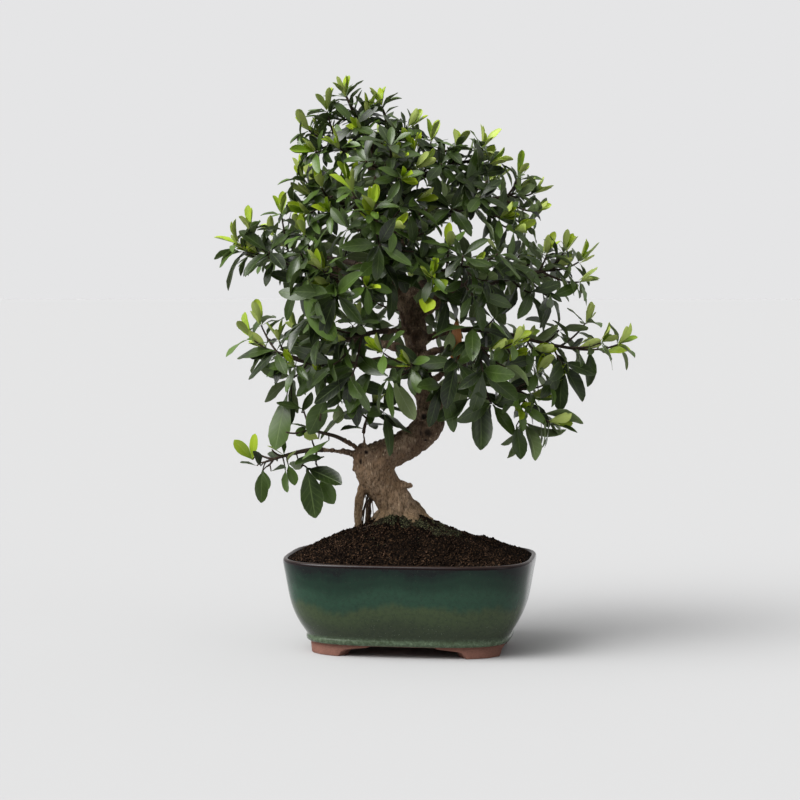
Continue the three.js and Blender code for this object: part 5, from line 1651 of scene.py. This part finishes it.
def dress_spray(index, limb, models, bark_finish):
    """One limb with all its side shoots and leaves."""
    start = bare_end(limb)
    steps = 5 * len(limb["points"])
    overlap = 0.02
    radius = lambda t: limb_radius(limb, t)
    paths = [path_along(limb["points"], radius, steps, start=start - overlap)]
    own = LIMB_SEED_STEP * index
    leaves = shoot_leaves(models, station(curve_point, limb["points"], 1), own, True)
    low = lowness(limb["points"][-1][2])
    on_limb, on_shoot = (round(blend(*counts, low)) for counts in (LIMB_LEAVES, SHOOT_LEAVES))
    for number in range(on_limb):
        t = blend(start, 1, (number + 0.6) / on_limb)
        leaves.append(stem_leaf(models, station(curve_point, limb["points"], t), own + 50, number))
    shoots = [*limb["shoots"], *MORE_SHOOTS.get(limb["name"], [])]
    for number, (right, back, up, young) in enumerate(shoots):
        seed = own + number + 1
        shoot = shoot_curve(limb, Vector((right, back, up)))
        steps = [step / SHOOT_STEPS for step in range(SHOOT_STEPS + 1)]
        paths.append([(shoot_point(shoot, t), blend(TWIG_RADIUS, TWIG_TIP_RADIUS, t)) for t in steps])
        fresh = young == 1 or draw(seed + 41) < FRESH_SHARE * (1 - low)
        leaves += shoot_leaves(models, station(shoot_point, shoot, 1), seed, fresh)
        for place in range(on_shoot):
            t = blend(0.3, 1, place / on_shoot)
            leaves.append(stem_leaf(models, station(shoot_point, shoot, t), seed, place))
    if limb["name"] in HAND_LIMBS:
        remove(*leaves)
        leaves = []
    own_rows = [row for row in HAND_LEAVES if row[0] == limb["name"]]
    leaves += [hand_leaf(models, *row[1:]) for row in own_rows]
    paths += [hand_stalk(paths, Vector(row[2])) for row in own_rows]
    stems = wood("stems", paths, THIN_SIDES)
    stems.data.materials.append(bark_finish)
    smooth(stems, 60)
    spray = join([*leaves, stems], "leafy_" + limb["name"])
    spray.data.transform(PLANT_PLACE)
    finish_piece(spray, [], ["spray_" + limb["name"]])


def hand_leaf(models, kind, root, tip, face, width_share, tint):
    """A leaf that stands out in the photograph, laid from its root to its tip."""
    root, tip = Vector(root), Vector(tip)
    length = (tip - root).length
    return grown_leaf(
        models[kind],
        root=root,
        along=tip - root,
        face=Vector(face),
        length=HAND_GROWTH * length,
        width=HAND_GROWTH * length * width_share,
        seed=HAND_SEED_SCALE * sum(tip),
        bend=between(*HAND_BEND, HAND_SEED_SCALE * tip.z),
        tint=tint,
    )


def hand_stalk(paths, root):
    """A thin stalk from the nearest wood of the limb to the root of a listed leaf."""
    start = min((place for path in paths for place, _ in path), key=lambda place: (place - root).length)
    middle = start.lerp(root, 0.5) + HAND_STALK_RISE * (start - root).length * UP
    return list(zip((start, middle, root), HAND_STALK_RADII))


# Stage


def soft_lobe(tree, direction, axis, sharpness, strength):
    """Brightness of a soft light that is strongest along an axis and falls off round it."""
    aim = add(tree, "VectorMath", "Value", {0: direction, 1: axis}, operation="DOT_PRODUCT")
    facing = add(tree, "Math", 0, {0: aim, 1: 0}, operation="MAXIMUM")
    spot = add(tree, "Math", 0, {0: facing, 1: sharpness}, operation="POWER")
    return add(tree, "Math", 0, {0: spot, 1: strength}, operation="MULTIPLY")


def make_light():
    """A studio that is pale behind and above the plant and dim behind the camera, with a large soft
    key light above the camera's left and a fainter one at its right. The backdrop itself is even."""
    world = bpy.data.worlds.new("studio")
    bpy.context.scene.world = world
    world.use_nodes = True
    tree = world.node_tree
    direction = add(tree, "TexCoord", "Generated")
    rise = add(tree, "SeparateXYZ", "Z", {0: direction})
    depth = add(tree, "VectorMath", "Value", {0: direction, 1: BACKWARD}, operation="DOT_PRODUCT")
    wall = add(tree, "MapRange", 0, {0: depth, **WALL_FADE, 3: ROOM_LEVEL, 4: BACKDROP_LEVEL})
    fade = {0: rise, **CEILING_FADE}
    ceiling = add(tree, "MapRange", 0, fade, interpolation_type="SMOOTHSTEP")
    total = add(tree, "Mix", 0, {0: ceiling, 2: wall, 3: CEILING_LEVEL})
    for axis, sharpness, strength in SOFT_LIGHTS:
        lobe = soft_lobe(tree, direction, axis, sharpness, strength)
        total = add(tree, "Math", 0, {0: total, 1: lobe}, operation="ADD")
    lit = add(tree, "Background", 0, {"Color": (1, 1, 1, 1), "Strength": total})
    seen = add(tree, "Background", 0, {"Color": colour(BACKDROP), "Strength": 1})
    is_seen = add(tree, "LightPath", "Is Camera Ray")
    shown = add(tree, "MixShader", 0, {0: is_seen, 1: lit, 2: seen})
    fill_sockets(tree, tree.nodes["World Output"], {0: shown})


def stage_floor():
    """A matt table that ends a little in front of the pot."""
    bpy.ops.mesh.primitive_plane_add(size=1)
    floor = bpy.context.object
    floor.name = "stage_floor"
    floor.scale = (2 * FLOOR_REACH, FLOOR_REACH + FLOOR_FRONT, 1)
    floor.location = (0, (FLOOR_REACH - FLOOR_FRONT) / 2, 0)
    apply_place(floor)
    floor.data.transform(PLANT_PLACE)
    material, tree, shader = new_material("matt_pale_table")
    fill_sockets(tree, shader, {
        "Base Color": (*FLOOR_TONE, 1), "Roughness": 1, "Specular IOR Level": 0,
    })
    floor.data.materials.append(material)


def make_camera():
    """The camera stands where the photograph was taken from."""
    data = bpy.data.cameras.new("camera")
    data.lens = CAMERA_LENS
    data.sensor_width = 36
    camera = bpy.data.objects.new("camera", data)
    bpy.context.collection.objects.link(camera)
    camera.location = PLANT_PLACE @ Vector(CAMERA_PLACE)
    camera.rotation_euler = (math.radians(90) - CAMERA_PITCH, 0, PLANT_TURN)
    bpy.context.scene.camera = camera
    bpy.context.scene.view_settings.view_transform = "Standard"


def dress_screens(finish):
    for name in ("drain_screen_left", "drain_screen_right"):
        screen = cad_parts[name]
        screen.data.materials.clear()
        screen.data.materials.append(finish)


def dress_plant():
    """The wood of the trunk, and on each limb its twigs and leaves."""
    twigs = twig_bark()
    dress_trunk(trunk_bark())
    dress_air_roots(twigs)
    leaf_under = leaf_skin("leaf_underside", 0x5A6B3C, 0x7F8E5A, 0x9AA77E, 0.4, 0.6, 0.1)
    young_under = leaf_skin("young_leaf_underside", 0x8A9C48, 0xB4C266, 0xC4CE88, 0.4, 0.55, 0.1)
    old_skin = leaf_skin("old_leaf", 0x8A4A1C, 0xB8742C, 0xC99650, 0.4, 0.5, 0.2)
    models = {
        "mature": leaf_model(
            "mature_leaf", MATURE_ROWS,
            leaf_skin("waxy_leaf_upper", 0x152009, 0x55702A, 0x748850, 0.35, 0.32, 0.12), leaf_under,
        ),
        "young": leaf_model(
            "young_leaf", YOUNG_ROWS,
            leaf_skin("young_leaf_upper", 0x56800F, 0xA8BE26, 0xBECC50, 0.4, 0.4, 0.4), young_under,
        ),
        "old": leaf_model("old_leaf", MATURE_ROWS, old_skin, old_skin),
    }
    for index, limb in enumerate(LIMBS):
        dress_spray(index, limb, models, twigs)
    remove(*models.values())


def build():
    make_camera()
    make_light()
    stage_floor()
    dress_pot(glazed_stoneware(), bare_clay())
    dress_soil(
        damp_peat("damp_peat", 0x0B0705, 0x503C2B), damp_peat("peat_crumbs", 0x0F0907, 0x755B48),
        twig_bark(),
    )
    dress_moss(cushion_moss())
    dress_rootlets(twig_bark())
    dress_plant()
    dress_screens(moulded_plastic())


build()
